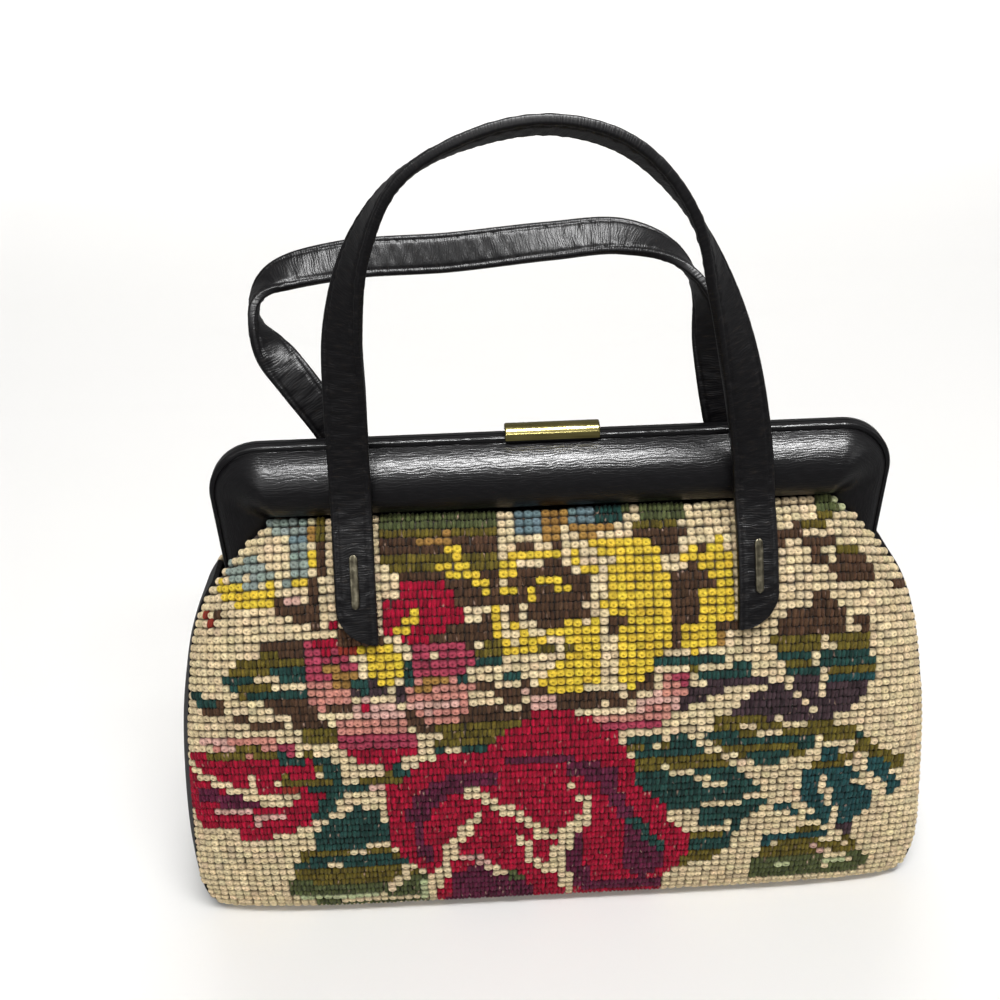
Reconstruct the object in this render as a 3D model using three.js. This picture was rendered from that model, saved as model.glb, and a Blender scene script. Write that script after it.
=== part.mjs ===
// A handbag with a leather-covered hinged frame, needlepoint panels, strap handles and a brass bar clasp.
// Millimetres. X runs across the bag, Y from its front (-) to its back (+), Z up from the floor.
import * as THREE from "three";

// Driving dimensions
const seatGap = 0.3;
const seamGap = 0.4;
const panelThickness = 3;
const gussetThickness = 2;
const frameHalf = { width: 128.5, top: 201, cornerRadius: 20 };
const frameMouth = { half: 106, top: 174.8, radius: 4 };
const frameLeg = { foot: 132, footInset: 1.5, swell: 0.34 };
const partingGap = 0.25;
const strap = { width: 15, thickness: 4, edgeThickness: 2.4, roundedEnd: 20 };
const staple = { length: 20, width: 3, thickness: 1.2, alongTab: 24 };
const pivot = { radius: 3, length: 15, x: 117 };
const claspBar = { length: 35, halfDepth: 4.5, rise: 4.3, wall: 0.8, seat: 200.5 };
const claspLips = { front: 200.1, back: 200.8 };
const claspHinge = { y: 4.9, z: 199.1, pinRadius: 0.9, length: 30 };
const claspLeaf = { slope: -0.533, drop: 5, inside: 0.64, outside: 0.16 };
const claspJoin = { inside: 0.8, outside: 0.3 };

// Body, a row for each height: half width at the side seam, depth of the seam from the middle plane,
// how far the panel swells forward of the seam, how far the gusset swells past it.
const bodySections = [
  { z: 0, half: 140, seam: 37, swell: 0, side: 0 },
  { z: 4, half: 146, seam: 38.8, swell: 6.2, side: 3 },
  { z: 12, half: 149.5, seam: 39.3, swell: 9, side: 5.5 },
  { z: 28, half: 150.5, seam: 38.7, swell: 10.8, side: 8 },
  { z: 55, half: 149, seam: 35, swell: 14.5, side: 8 },
  { z: 85, half: 147, seam: 29, swell: 18.5, side: 6 },
  { z: 110, half: 144, seam: 22, swell: 21.5, side: 3.5 },
  { z: 125, half: 141.5, seam: 16, swell: 24, side: 1.5 },
  { z: 138, half: 137, seam: 10.5, swell: 25.5, side: 0 },
  { z: 150, half: 129, seam: 8.2, swell: 22.8, side: 0 },
  { z: 165, half: 116, seam: 7.9, swell: 14.4, side: 0 },
  { z: 174, half: 105, seam: 7.9, swell: 2.6, side: 0 },
];
const panelRows = 19;
const panelColumns = 24;
const rollPower = 5;
const edgeCrowding = 1.8;

// The gusset's narrow top, tucked against the outside of the frame's leg, and its stations across the base.
const gussetTop = { z: 151, half: 130.8 };
const baseStations = [110, 70, 35, 0, -35, -70, -110];
const gussetColumns = 8;

// Padded band of the frame, from its rim to its mouth: share of the way across, depth from the parting.
const bandProfile = [
  { across: 0, depth: 2.2 },
  { across: 0.02, depth: 3 },
  { across: 0.07, depth: 3.2 },
  { across: 0.09, depth: 2.9 },
  { across: 0.13, depth: 5.6 },
  { across: 0.22, depth: 9.6 },
  { across: 0.38, depth: 13.2 },
  { across: 0.58, depth: 14.8 },
  { across: 0.78, depth: 14.2 },
  { across: 0.93, depth: 12 },
  { across: 1, depth: 9.6 },
];
const rimDepth = 3.2;
const bandSteps = { top: 6, corner: 6, leg: 3 };

// Handles, a row for each station from the left tab to the right: the strap's middle, its face's normal.
const frontHandlePath = [
  { x: -74.5, y: -38.6, z: 136, nx: 0, ny: -0.9, nz: 0.42 },
  { x: -74.5, y: -32.8, z: 152, nx: 0, ny: -0.9, nz: 0.42 },
  { x: -74.5, y: -25.8, z: 167, nx: 0, ny: -0.92, nz: 0.4 },
  { x: -74.4, y: -19.6, z: 181, nx: 0, ny: -0.97, nz: 0.25 },
  { x: -74, y: -17.5, z: 196, nx: 0, ny: -1, nz: 0.05 },
  { x: -73, y: -17.6, z: 225, nx: -0.15, ny: -1, nz: 0 },
  { x: -71.2, y: -18, z: 252, nx: -0.5, ny: -0.8, nz: 0.1 },
  { x: -64, y: -18.5, z: 279, nx: -0.85, ny: -0.45, nz: 0.3 },
  { x: -49, y: -18.5, z: 301, nx: -0.7, ny: 0.1, nz: 0.7 },
  { x: -23.5, y: -18.5, z: 313, nx: -0.3, ny: 0.4, nz: 0.87 },
  { x: 0, y: -18.5, z: 315.5, nx: 0.02, ny: 0.45, nz: 0.9 },
  { x: 22.7, y: -18.5, z: 308.3, nx: 0.42, ny: 0.4, nz: 0.82 },
  { x: 42, y: -18.5, z: 289, nx: 0.8, ny: 0.1, nz: 0.55 },
  { x: 55, y: -18.3, z: 260.4, nx: 0.75, ny: -0.6, nz: 0.25 },
  { x: 64, y: -17.8, z: 231, nx: 0.35, ny: -0.95, nz: 0.1 },
  { x: 70.5, y: -17.5, z: 200, nx: 0.08, ny: -1, nz: 0.05 },
  { x: 72.6, y: -19.9, z: 180.5, nx: 0, ny: -0.97, nz: 0.25 },
  { x: 73.4, y: -26.2, z: 166, nx: 0, ny: -0.92, nz: 0.4 },
  { x: 73.6, y: -33, z: 151.5, nx: 0, ny: -0.9, nz: 0.42 },
  { x: 73.6, y: -38.8, z: 135.5, nx: 0, ny: -0.9, nz: 0.42 },
];
const backHandlePath = [
  { x: -74.5, y: 38.6, z: 136, nx: 0, ny: 0.9, nz: 0.42 },
  { x: -74.5, y: 32.8, z: 152, nx: 0, ny: 0.9, nz: 0.42 },
  { x: -74.7, y: 25.8, z: 167, nx: 0, ny: 0.92, nz: 0.4 },
  { x: -77, y: 19.6, z: 181, nx: 0, ny: 0.97, nz: 0.25 },
  { x: -82, y: 17.7, z: 196, nx: -0.05, ny: 1, nz: 0.05 },
  { x: -94.5, y: 21.5, z: 215, nx: -0.3, ny: 0.9, nz: 0.1 },
  { x: -104.5, y: 28, z: 228, nx: -0.75, ny: 0.6, nz: 0.15 },
  { x: -109.5, y: 35.5, z: 239.5, nx: -0.95, ny: 0, nz: 0.3 },
  { x: -103, y: 42.5, z: 248, nx: -0.6, ny: -0.5, nz: 0.65 },
  { x: -77, y: 46.5, z: 253.5, nx: -0.15, ny: -0.8, nz: 0.55 },
  { x: -35, y: 48.5, z: 254.5, nx: 0, ny: -0.88, nz: 0.47 },
  { x: 3, y: 48.5, z: 257.5, nx: 0, ny: -0.78, nz: 0.62 },
  { x: 30, y: 45, z: 259.5, nx: 0.1, ny: -0.65, nz: 0.75 },
  { x: 48, y: 36.5, z: 255, nx: 0.5, ny: -0.25, nz: 0.75 },
  { x: 58, y: 26, z: 243.5, nx: 0.85, ny: 0.35, nz: 0.35 },
  { x: 62, y: 19.5, z: 223, nx: 0.55, ny: 0.85, nz: 0.1 },
  { x: 67, y: 17.7, z: 198, nx: 0.1, ny: 1, nz: 0.05 },
  { x: 71.5, y: 19.9, z: 180.5, nx: 0, ny: 0.97, nz: 0.25 },
  { x: 73.6, y: 26.2, z: 166, nx: 0, ny: 0.92, nz: 0.4 },
  { x: 74, y: 33, z: 151.5, nx: 0, ny: 0.9, nz: 0.42 },
  { x: 74, y: 38.8, z: 135.5, nx: 0, ny: 0.9, nz: 0.42 },
];
const strapSteps = 44;
const roundSteps = { staple: 5, bar: 12, pin: 6, pivot: 16 };
const strapProfile = [-1, -0.8, -0.4, 0, 0.4, 0.8, 1];

const leather = { color: 0x17151a, roughness: 0.5, metalness: 0 };
const wool = { color: 0xc9b48a, roughness: 0.95, metalness: 0 };
const brass = { color: 0x8f8738, roughness: 0.35, metalness: 1 };
const steel = { color: 0x6d685c, roughness: 0.45, metalness: 1 };

const bag = new THREE.Group();

function addPiece(name, geometry, finish) {
  const mesh = new THREE.Mesh(geometry, new THREE.MeshStandardMaterial(finish));
  mesh.name = name;
  bag.add(mesh);
  return mesh;
}

// Closed wall between two grids of points, rows by columns, with its faces turned outwards.
function wallGeometry(outer, inner) {
  const rows = outer.length;
  const columns = outer[0].length;
  const layer = rows * columns;
  const positions = [...outer.flat(), ...inner.flat()].flatMap((p) => [p.x, p.y, p.z]);
  const triangles = [];
  const quad = (a, b, c, d) => triangles.push(a, b, c, a, c, d);
  const at = (row, column) => row * columns + column;
  for (let row = 0; row < rows - 1; row++) {
    for (let column = 0; column < columns - 1; column++) {
      const corners = [at(row, column), at(row, column + 1), at(row + 1, column + 1), at(row + 1, column)];
      quad(...corners);
      quad(...corners.map((i) => i + layer).reverse());
    }
  }
  const rim = [];
  for (let column = 0; column < columns - 1; column++) rim.push(at(0, column));
  for (let row = 0; row < rows - 1; row++) rim.push(at(row, columns - 1));
  for (let column = columns - 1; column > 0; column--) rim.push(at(rows - 1, column));
  for (let row = rows - 1; row > 0; row--) rim.push(at(row, 0));
  rim.forEach((a, i) => {
    const b = rim[(i + 1) % rim.length];
    quad(b, a, a + layer, b + layer);
  });
  const volume = signedVolume(positions, triangles);
  if (volume < 0) triangles.reverse();
  const geometry = new THREE.BufferGeometry();
  geometry.setAttribute("position", new THREE.Float32BufferAttribute(positions, 3));
  geometry.setIndex(triangles);
  geometry.computeVertexNormals();
  return geometry;
}

function signedVolume(positions, triangles) {
  const corner = (i) => new THREE.Vector3().fromArray(positions, 3 * triangles[i]);
  let volume = 0;
  for (let i = 0; i < triangles.length; i += 3) {
    volume += corner(i).dot(corner(i + 1).cross(corner(i + 2))) / 6;
  }
  return volume;
}

// Inner skin of a grid of points, a wall's thickness along its normals; side 1 or -1 picks the inner side.
function innerSkin(outer, thickness, side) {
  const rows = outer.length;
  const columns = outer[0].length;
  return outer.map((line, row) =>
    line.map((point, column) => {
      const along = new THREE.Vector3().subVectors(
        outer[Math.min(row + 1, rows - 1)][column],
        outer[Math.max(row - 1, 0)][column],
      );
      const across = new THREE.Vector3().subVectors(
        line[Math.min(column + 1, columns - 1)],
        line[Math.max(column - 1, 0)],
      );
      const normal = along.cross(across).normalize();
      return point.clone().addScaledVector(normal, side * thickness);
    }),
  );
}

// Body section at a share of the way up the table, on smooth curves through its rows.
const outlineCurve = new THREE.CatmullRomCurve3(
  bodySections.map((row) => new THREE.Vector3(row.half, row.seam, row.z)), false, "catmullrom", 0.5);
const swellCurve = new THREE.CatmullRomCurve3(
  bodySections.map((row) => new THREE.Vector3(row.swell, row.side, 0)), false, "catmullrom", 0.5);

function bodyAt(row) {
  const outline = outlineCurve.getPoint(row / panelRows);
  const swell = swellCurve.getPoint(row / panelRows);
  return { half: outline.x, seam: outline.y, z: outline.z, swell: swell.x, side: swell.y };
}

const bodyRows = Array.from({ length: panelRows + 1 }, (_, row) => bodyAt(row));

// Needlepoint panel: flat in the middle and rolled back to its seam at both sides, a pillow under tension.
function panelGeometry(facing) {
  const outer = bodyRows.map((section) => {
    const line = [];
    for (let column = 0; column <= panelColumns; column++) {
      const spread = (2 * column) / panelColumns - 1;
      const share = Math.sign(spread) * (1 - (1 - Math.abs(spread)) ** edgeCrowding);
      const roll = Math.sqrt(Math.max(0, 1 - Math.abs(share) ** rollPower));
      const depth = section.seam + section.swell * roll;
      line.push(new THREE.Vector3(section.half * share, facing * depth, section.z));
    }
    return line;
  });
  const inner = innerSkin(outer, panelThickness, -facing);
  inner.forEach((line, row) =>
    line.forEach((point) => (point.y = facing * Math.max(facing * point.y, bodyRows[row].seam))),
  );
  return wallGeometry(outer, inner);
}

// Gusset: one leather strip down the left side, across the base and up the right side.
function gussetGeometry() {
  const sideStations = bodyRows
    .filter((row) => row.z < gussetTop.z)
    .map((row) => ({ ...row, x: Math.max(row.half, gussetTop.half), depth: row.seam - seamGap }));
  const base = sideStations[0];
  const stations = [
    ...[...sideStations].reverse().map((s) => ({ ...s, hand: -1 })),
    ...baseStations.map((x) => ({ ...base, x: -x, hand: 1 })),
    ...sideStations.map((s) => ({ ...s, hand: 1 })),
  ];
  const outer = stations.map((s) => {
    const line = [];
    for (let column = 0; column <= gussetColumns; column++) {
      const across = (2 * column) / gussetColumns - 1;
      const swell = s.side * (1 - across * across);
      line.push(new THREE.Vector3(s.hand * (s.x + swell), across * s.depth, s.z));
    }
    return line;
  });
  return wallGeometry(outer, innerSkin(outer, gussetThickness, 1));
}

// One half of the frame: an arch between its outer outline and its mouth, padded towards the outside.
function frameStations() {
  const right = [];
  const { width, top, cornerRadius } = frameHalf;
  for (let i = 0; i < bandSteps.top; i++) {
    const share = i / bandSteps.top;
    right.push({
      outer: new THREE.Vector2((width - cornerRadius) * share, top),
      mouth: new THREE.Vector2((frameMouth.half - frameMouth.radius) * share, frameMouth.top),
      swell: 1,
    });
  }
  for (let i = 0; i <= bandSteps.corner; i++) {
    const share = i / bandSteps.corner;
    const angle = (Math.PI / 2) * (1 - share);
    const bend = (x, z, radius) =>
      new THREE.Vector2(x - radius + radius * Math.cos(angle), z - radius + radius * Math.sin(angle));
    right.push({
      outer: bend(width, top, cornerRadius),
      mouth: bend(frameMouth.half, frameMouth.top, frameMouth.radius),
      swell: THREE.MathUtils.lerp(1, frameLeg.swell, THREE.MathUtils.smoothstep(share, 0, 1)),
    });
  }
  for (let i = 1; i <= bandSteps.leg; i++) {
    const share = i / bandSteps.leg;
    const height = (from) => THREE.MathUtils.lerp(from, frameLeg.foot, share);
    right.push({
      outer: new THREE.Vector2(width - frameLeg.footInset * share, height(top - cornerRadius)),
      mouth: new THREE.Vector2(frameMouth.half, height(frameMouth.top - frameMouth.radius)),
      swell: frameLeg.swell,
    });
  }
  const flip = (p) => new THREE.Vector2(-p.x, p.y);
  const mirrored = (s) => ({ outer: flip(s.outer), mouth: flip(s.mouth), swell: s.swell });
  return [...right.slice(1).reverse().map(mirrored), ...right];
}

function frameGeometry(facing) {
  const stations = frameStations();
  const skin = (depthOf) =>
    stations.map((s) =>
      bandProfile.map((point) => {
        const place = s.outer.clone().lerp(s.mouth, point.across);
        return new THREE.Vector3(place.x, facing * depthOf(point, s), place.y);
      }),
    );
  const padded = (point, s) =>
    point.depth <= rimDepth ? point.depth : rimDepth + (point.depth - rimDepth) * s.swell;
  return wallGeometry(skin(padded), skin(() => partingGap));
}

// Strap: a padded band carried along its path, its end rounded away at the outer corner of each tab.
function strapCurves(path) {
  const points = (x, y, z) => path.map((row) => new THREE.Vector3(row[x], row[y], row[z]));
  return {
    middle: new THREE.CatmullRomCurve3(points("x", "y", "z"), false, "centripetal"),
    facing: new THREE.CatmullRomCurve3(points("nx", "ny", "nz"), false, "catmullrom", 0.5),
  };
}

function strapFrame(curves, distance) {
  const share = THREE.MathUtils.clamp(distance / curves.middle.getLength(), 0, 1);
  const t = curves.middle.getUtoTmapping(share);
  const along = curves.middle.getTangent(t);
  const out = curves.facing.getPoint(t);
  out.addScaledVector(along, -out.dot(along)).normalize();
  const across = new THREE.Vector3().crossVectors(along, out);
  return { place: curves.middle.getPoint(t), along, out, across };
}

function strapGeometry(path, outerEdge) {
  const curves = strapCurves(path);
  const length = curves.middle.getLength();
  const skin = (side) => {
    const grid = [];
    for (let step = 0; step <= strapSteps; step++) {
      const plain = (length * step) / strapSteps;
      grid.push(
        strapProfile.map((edge) => {
          const reach = (strap.width * (1 + outerEdge * edge)) / 2;
          const cut = strap.width - Math.sqrt(Math.max(0, strap.width ** 2 - reach ** 2));
          const fromEnd = Math.min(plain, length - plain);
          const trimmed = fromEnd < strap.roundedEnd ? cut * (1 - fromEnd / strap.roundedEnd) : 0;
          const distance = plain < length / 2 ? plain + trimmed : plain - trimmed;
          const { place, out, across } = strapFrame(curves, distance);
          const thickness = Math.abs(edge) === 1 ? strap.edgeThickness : strap.thickness;
          return place
            .clone()
            .addScaledVector(across, (edge * strap.width) / 2)
            .addScaledVector(out, (side * thickness) / 2);
        }),
      );
    }
    return grid;
  };
  return wallGeometry(skin(1), skin(-1));
}

// Staple: a flat metal bar with round ends, laid along the middle of a tab.
function stapleGeometry() {
  const half = (staple.length - staple.width) / 2;
  const radius = staple.width / 2;
  const outline = new THREE.Shape();
  outline.absarc(half, 0, radius, -Math.PI / 2, Math.PI / 2);
  outline.absarc(-half, 0, radius, Math.PI / 2, (3 * Math.PI) / 2);
  return new THREE.ExtrudeGeometry(outline, {
    depth: staple.thickness,
    bevelEnabled: false,
    curveSegments: roundSteps.staple,
  });
}

function addStaple(name, path, fromRight) {
  const curves = strapCurves(path);
  const distance = fromRight ? curves.middle.getLength() - staple.alongTab : staple.alongTab;
  const { place, along, out, across } = strapFrame(curves, distance);
  const mesh = addPiece(name, stapleGeometry(), steel);
  mesh.setRotationFromMatrix(new THREE.Matrix4().makeBasis(along, across.negate(), out));
  mesh.position.copy(place).addScaledVector(out, strap.thickness / 2 + seatGap);
}

// Clasp bar: a half-round brass channel over both rims of the frame, its front lip lower than its back one.
function claspBarGeometry() {
  const { halfDepth, rise, wall, seat } = claspBar;
  const arch = (inset) => {
    const points = [new THREE.Vector2(-halfDepth + inset, claspLips.front)];
    for (let i = 0; i <= roundSteps.bar; i++) {
      const angle = Math.PI * (1 - i / roundSteps.bar);
      const height = seat + (rise - inset) * Math.sin(angle);
      points.push(new THREE.Vector2((halfDepth - inset) * Math.cos(angle), height));
    }
    return points.filter((p) => p.x < 0 || p.y >= claspLips.back);
  };
  const outline = new THREE.Shape([...arch(0), ...arch(wall).reverse()]);
  return barAcross(outline, claspBar.length);
}

// A section in the YZ plane drawn out along X, centred on the bag's middle.
function barAcross(outline, length) {
  const geometry = new THREE.ExtrudeGeometry(outline, {
    depth: length,
    bevelEnabled: false,
    curveSegments: roundSteps.pin,
  });
  geometry.translate(0, 0, -length / 2);
  const turn = new THREE.Matrix4().makeBasis(
    new THREE.Vector3(0, 1, 0), new THREE.Vector3(0, 0, 1), new THREE.Vector3(1, 0, 0));
  return geometry.applyMatrix4(turn);
}

// Clasp base: the hinge pin and the leaf below it, soldered in one, on the back shoulder of the frame.
function claspBaseGeometry() {
  const { y, z, pinRadius, length } = claspHinge;
  const { slope, drop, inside, outside } = claspLeaf;
  const down = new THREE.Vector2(Math.cos(slope), Math.sin(slope));
  const out = new THREE.Vector2(-down.y, down.x);
  const foot = new THREE.Vector2(y, z).addScaledVector(down, drop);
  const innerCorner = foot.clone().addScaledVector(out, -inside);
  const outerCorner = foot.clone().addScaledVector(out, outside);
  const outline = new THREE.Shape();
  outline.absarc(y, z, pinRadius, slope + claspJoin.outside, slope + 2 * Math.PI - claspJoin.inside);
  outline.lineTo(innerCorner.x, innerCorner.y);
  outline.lineTo(outerCorner.x, outerCorner.y);
  return barAcross(outline, length);
}

addPiece("frame_front", frameGeometry(-1), leather);
addPiece("frame_back", frameGeometry(1), leather);
addPiece("front_panel", panelGeometry(-1), wool);
addPiece("back_panel", panelGeometry(1), wool);
addPiece("gusset", gussetGeometry(), leather);
for (const [name, hand] of [["hinge_left", -1], ["hinge_right", 1]]) {
  const pin = new THREE.CylinderGeometry(pivot.radius, pivot.radius, pivot.length, roundSteps.pivot);
  const mesh = addPiece(name, pin, steel);
  mesh.rotation.z = Math.PI / 2;
  mesh.position.set(hand * pivot.x, 0, frameLeg.foot - pivot.radius - seatGap);
}
addPiece("handle_front", strapGeometry(frontHandlePath, -1), leather);
addPiece("handle_back", strapGeometry(backHandlePath, 1), leather);
addStaple("staple_front_left", frontHandlePath, false);
addStaple("staple_front_right", frontHandlePath, true);
addStaple("staple_back_left", backHandlePath, false);
addStaple("staple_back_right", backHandlePath, true);
addPiece("clasp_base", claspBaseGeometry(), brass);
addPiece("clasp_bar", claspBarGeometry(), brass);

export default bag;
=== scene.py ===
import bpy
import numpy as np
from mathutils import Matrix


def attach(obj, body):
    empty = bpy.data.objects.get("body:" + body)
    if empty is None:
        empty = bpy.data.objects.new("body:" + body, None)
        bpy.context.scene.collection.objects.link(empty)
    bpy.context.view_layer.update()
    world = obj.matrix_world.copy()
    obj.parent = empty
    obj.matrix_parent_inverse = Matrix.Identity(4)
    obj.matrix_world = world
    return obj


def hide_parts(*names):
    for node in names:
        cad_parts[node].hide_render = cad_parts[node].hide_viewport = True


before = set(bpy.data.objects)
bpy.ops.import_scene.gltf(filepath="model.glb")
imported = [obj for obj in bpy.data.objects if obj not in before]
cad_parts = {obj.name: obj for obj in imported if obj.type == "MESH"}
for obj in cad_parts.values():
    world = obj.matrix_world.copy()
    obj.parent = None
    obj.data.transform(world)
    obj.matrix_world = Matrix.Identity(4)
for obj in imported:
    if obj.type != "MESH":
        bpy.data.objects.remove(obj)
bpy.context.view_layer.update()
mm = 0.001  # the tables below are in millimetres, the meshes in metres
stitchPitch = 3.36  # seven and a half stitches to the inch
print("frame loaded:", len(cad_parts), "nodes")


# Helpers for nodes and colours

def linear(hexColour):
    # sRGB hex to linear: below 0.04045 a straight slope, above it a 2.4 power
    srgb = np.array([int(hexColour[i:i + 2], 16) for i in (1, 3, 5)]) / 255
    straight = srgb / 12.92
    curved = ((srgb + 0.055) / 1.055) ** 2.4
    return (*np.where(srgb <= 0.04045, straight, curved), 1.0)


def addNode(tree, kind, inputs=None, **settings):
    # inputs maps a socket's name or number to a value or to another node's output
    node = tree.nodes.new(kind)
    for name, value in settings.items():
        setattr(node, name, value)
    for key, value in (inputs or {}).items():
        if isinstance(value, bpy.types.NodeSocket):
            tree.links.new(value, node.inputs[key])
        else:
            node.inputs[key].default_value = value
    return node


def newMaterial(name, inputs):
    material = bpy.data.materials.new(name)
    material.use_nodes = True
    tree = material.node_tree
    surface = tree.nodes["Principled BSDF"]
    for socket, value in inputs.items():
        surface.inputs[socket].default_value = value
    return material, tree, surface


def colourRamp(tree, factor, stops):
    ramp = addNode(tree, "ShaderNodeValToRGB", {"Fac": factor})
    elements = ramp.color_ramp.elements
    while len(elements) < len(stops):
        elements.new(0.5)
    for element, (place, colour) in zip(elements, stops):
        element.position = place
        element.color = colour
    return ramp.outputs["Color"]


# Helpers for meshes

def makeMesh(name, points, faceLists, material, lay=None, sharpAngle=0.7):
    # faceLists holds arrays of faces, each with its own number of corners; points in millimetres
    mesh = bpy.data.meshes.new(name)
    sizes = np.concatenate([np.full(len(faces), faces.shape[1]) for faces in faceLists])
    corners = np.concatenate([faces.ravel() for faces in faceLists])
    mesh.vertices.add(len(points))
    mesh.vertices.foreach_set("co", (points * mm).astype(np.float32).ravel())
    mesh.loops.add(len(corners))
    mesh.loops.foreach_set("vertex_index", corners.astype(np.int32))
    mesh.polygons.add(len(sizes))
    mesh.polygons.foreach_set("loop_start", (np.cumsum(sizes) - sizes).astype(np.int32))
    mesh.polygons.foreach_set("use_smooth", np.ones(len(sizes), bool))
    mesh.update(calc_edges=True)
    mesh.validate()
    if sharpAngle:
        mesh.set_sharp_from_angle(angle=sharpAngle)
    if lay is not None:  # millimetres along and across the piece, for patterns that follow it
        attribute = mesh.attributes.new("lay", "FLOAT_VECTOR", "POINT")
        flat = np.column_stack([lay, np.zeros(len(lay))]).astype(np.float32)
        attribute.data.foreach_set("vector", flat.ravel())
    mesh.materials.append(material)
    piece = bpy.data.objects.new(name, mesh)
    bpy.context.scene.collection.objects.link(piece)
    return piece


def outward(points, faceLists):
    # signed volume from fans of triangles; a negative one means that every face is turned round
    volume = 0.0
    for faces in faceLists:
        first = points[faces[:, 0]]
        for k in range(1, faces.shape[1] - 1):
            second = points[faces[:, k]]
            third = points[faces[:, k + 1]]
            volume += np.einsum("ij,ij->i", first, np.cross(second, third)).sum()
    return faceLists if volume > 0 else [faces[:, ::-1] for faces in faceLists]


def gridQuads(rows, columns):
    # corner numbers of the quads between neighbouring points of a grid
    corner = (np.arange(rows - 1)[:, None] * columns + np.arange(columns - 1)).ravel()
    return np.column_stack([corner, corner + 1, corner + columns + 1, corner + columns])


def wallMesh(name, outer, inner, material, lay):
    # closed wall: an outer grid, an inner grid turned over, and quads round the rim between them
    rows, columns = outer.shape[:2]
    skin = gridQuads(rows, columns)
    layer = rows * columns
    index = np.arange(layer).reshape(rows, columns)
    rim = np.concatenate([index[0, :-1], index[:-1, -1], index[-1, :0:-1], index[:0:-1, 0]])
    following = np.roll(rim, -1)
    edge = np.column_stack([following, rim, rim + layer, following + layer])
    points = np.concatenate([outer.reshape(-1, 3), inner.reshape(-1, 3)])
    faceLists = outward(points, [skin, skin[:, ::-1] + layer, edge])
    return makeMesh(name, points, faceLists, material, np.concatenate([lay.reshape(-1, 2)] * 2))


def tubeMesh(name, sections, material, sharpAngle, lay=None):
    # closed loops of points, one per station, joined by quads and capped at both ends
    stations, around = sections.shape[:2]
    index = np.arange(stations * around).reshape(stations, around)
    ahead = np.roll(index, -1, axis=1)
    quads = np.stack([index[:-1], ahead[:-1], ahead[1:], index[1:]], -1).reshape(-1, 4)
    caps = np.stack([index[0, ::-1], index[-1]])
    points = sections.reshape(-1, 3)
    flat = None if lay is None else lay.reshape(-1, 2)
    return makeMesh(name, points, outward(points, [quads, caps]), material, flat, sharpAngle)


def curveStretch(table, t):
    # the stretch of the table that t falls in, t's share of it, and the four rows round it
    rows = np.asarray(table, float)
    wide = np.vstack([2 * rows[0] - rows[1], rows, 2 * rows[-1] - rows[-2]])
    i = np.clip(np.floor(t).astype(int), 0, len(rows) - 2)
    return wide, i, (t - i)[..., None], [wide[i + k] for k in range(4)]


def throughRows(table, t):
    # uniform Catmull-Rom curve through the rows of a table, t counted in rows
    _, _, w, (before, start, end, after) = curveStretch(table, t)
    slope = end - before
    square = 2 * before - 5 * start + 4 * end - after
    cube = 3 * start - before - 3 * end + after
    return 0.5 * (2 * start + slope * w + square * w ** 2 + cube * w ** 3)


def superellipse(angle, power):
    # a circle's cosine and sine, each raised to the power with its sign kept: 1 is round, 0 square
    circle = np.stack([np.cos(angle), np.sin(angle)])
    return np.sign(circle) * np.abs(circle) ** power


def roundAngles(count):
    # equal steps once round a circle
    return 2 * np.pi * np.arange(count) / count


def unit(vectors):
    return vectors / np.linalg.norm(vectors, axis=-1, keepdims=True)


def surfaceNormals(grid):
    # cross product of the differences along rows and columns
    return unit(np.cross(np.gradient(grid, axis=0), np.gradient(grid, axis=1)))


def place(piece, nodes=(), slot=None, body="bag"):
    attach(piece, body)
    if nodes:
        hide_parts(*nodes)


# Camera, floor and light

def standing(right, up, back, position):
    # matrix whose columns are an object's own axes and its place in metres
    turn = np.eye(4)
    turn[:3] = np.column_stack([right, up, back, position])
    return Matrix(turn.tolist())


camera = {
    "place": (-31.5, -376.6, 395.6),
    "right": (0.9987, -0.0446, -0.0231),
    "up": (0.0426, 0.5082, 0.8602),
    "forward": (0.0266, 0.8601, -0.5095),
    "lens": 41.25,
    "sensor": 36,
}


def buildCamera():
    data = bpy.data.cameras.new("camera")
    data.lens = camera["lens"]
    data.sensor_width = camera["sensor"]
    view = bpy.data.objects.new("camera", data)
    bpy.context.scene.collection.objects.link(view)
    view.matrix_world = standing(camera["right"], camera["up"], -np.array(camera["forward"]),
                                 np.array(camera["place"]) * mm)
    bpy.context.scene.camera = view


studio = {
    "floor": "#e3e2e0",
    "floorReach": 12.0,  # metres
    "floorDrop": 0.1,
    "world": 0.26,
    "lights": [
        # name, place in metres, aimed at, width, height, watts, kind of ray that doesn't see it
        ("strip", (0.1, -0.5, 1.2), (0, 0, 0.19), 0.8, 0.14, 13.0, "glossy"),
        ("gleam", (0.12, -0.3, 1.2), (0, 0, 0.19), 0.8, 0.12, 55.0, "diffuse"),
        ("sheen", (-0.6, -1.1, 0.75), (0, 0, 0.1), 0.7, 0.7, 4.2, "diffuse"),
        ("front", (-0.6, -1.1, 0.75), (0, 0, 0.1), 0.7, 0.7, 5.0, "glossy"),
        ("right", (1.1, -0.5, 0.6), (0, 0, 0.12), 0.6, 0.6, 2.0, None),
        ("backdrop", (0, 2.6, 2.2), (0, 3.0, 0), 3.2, 1.8, 130.0, "glossy"),
    ],
}


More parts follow.
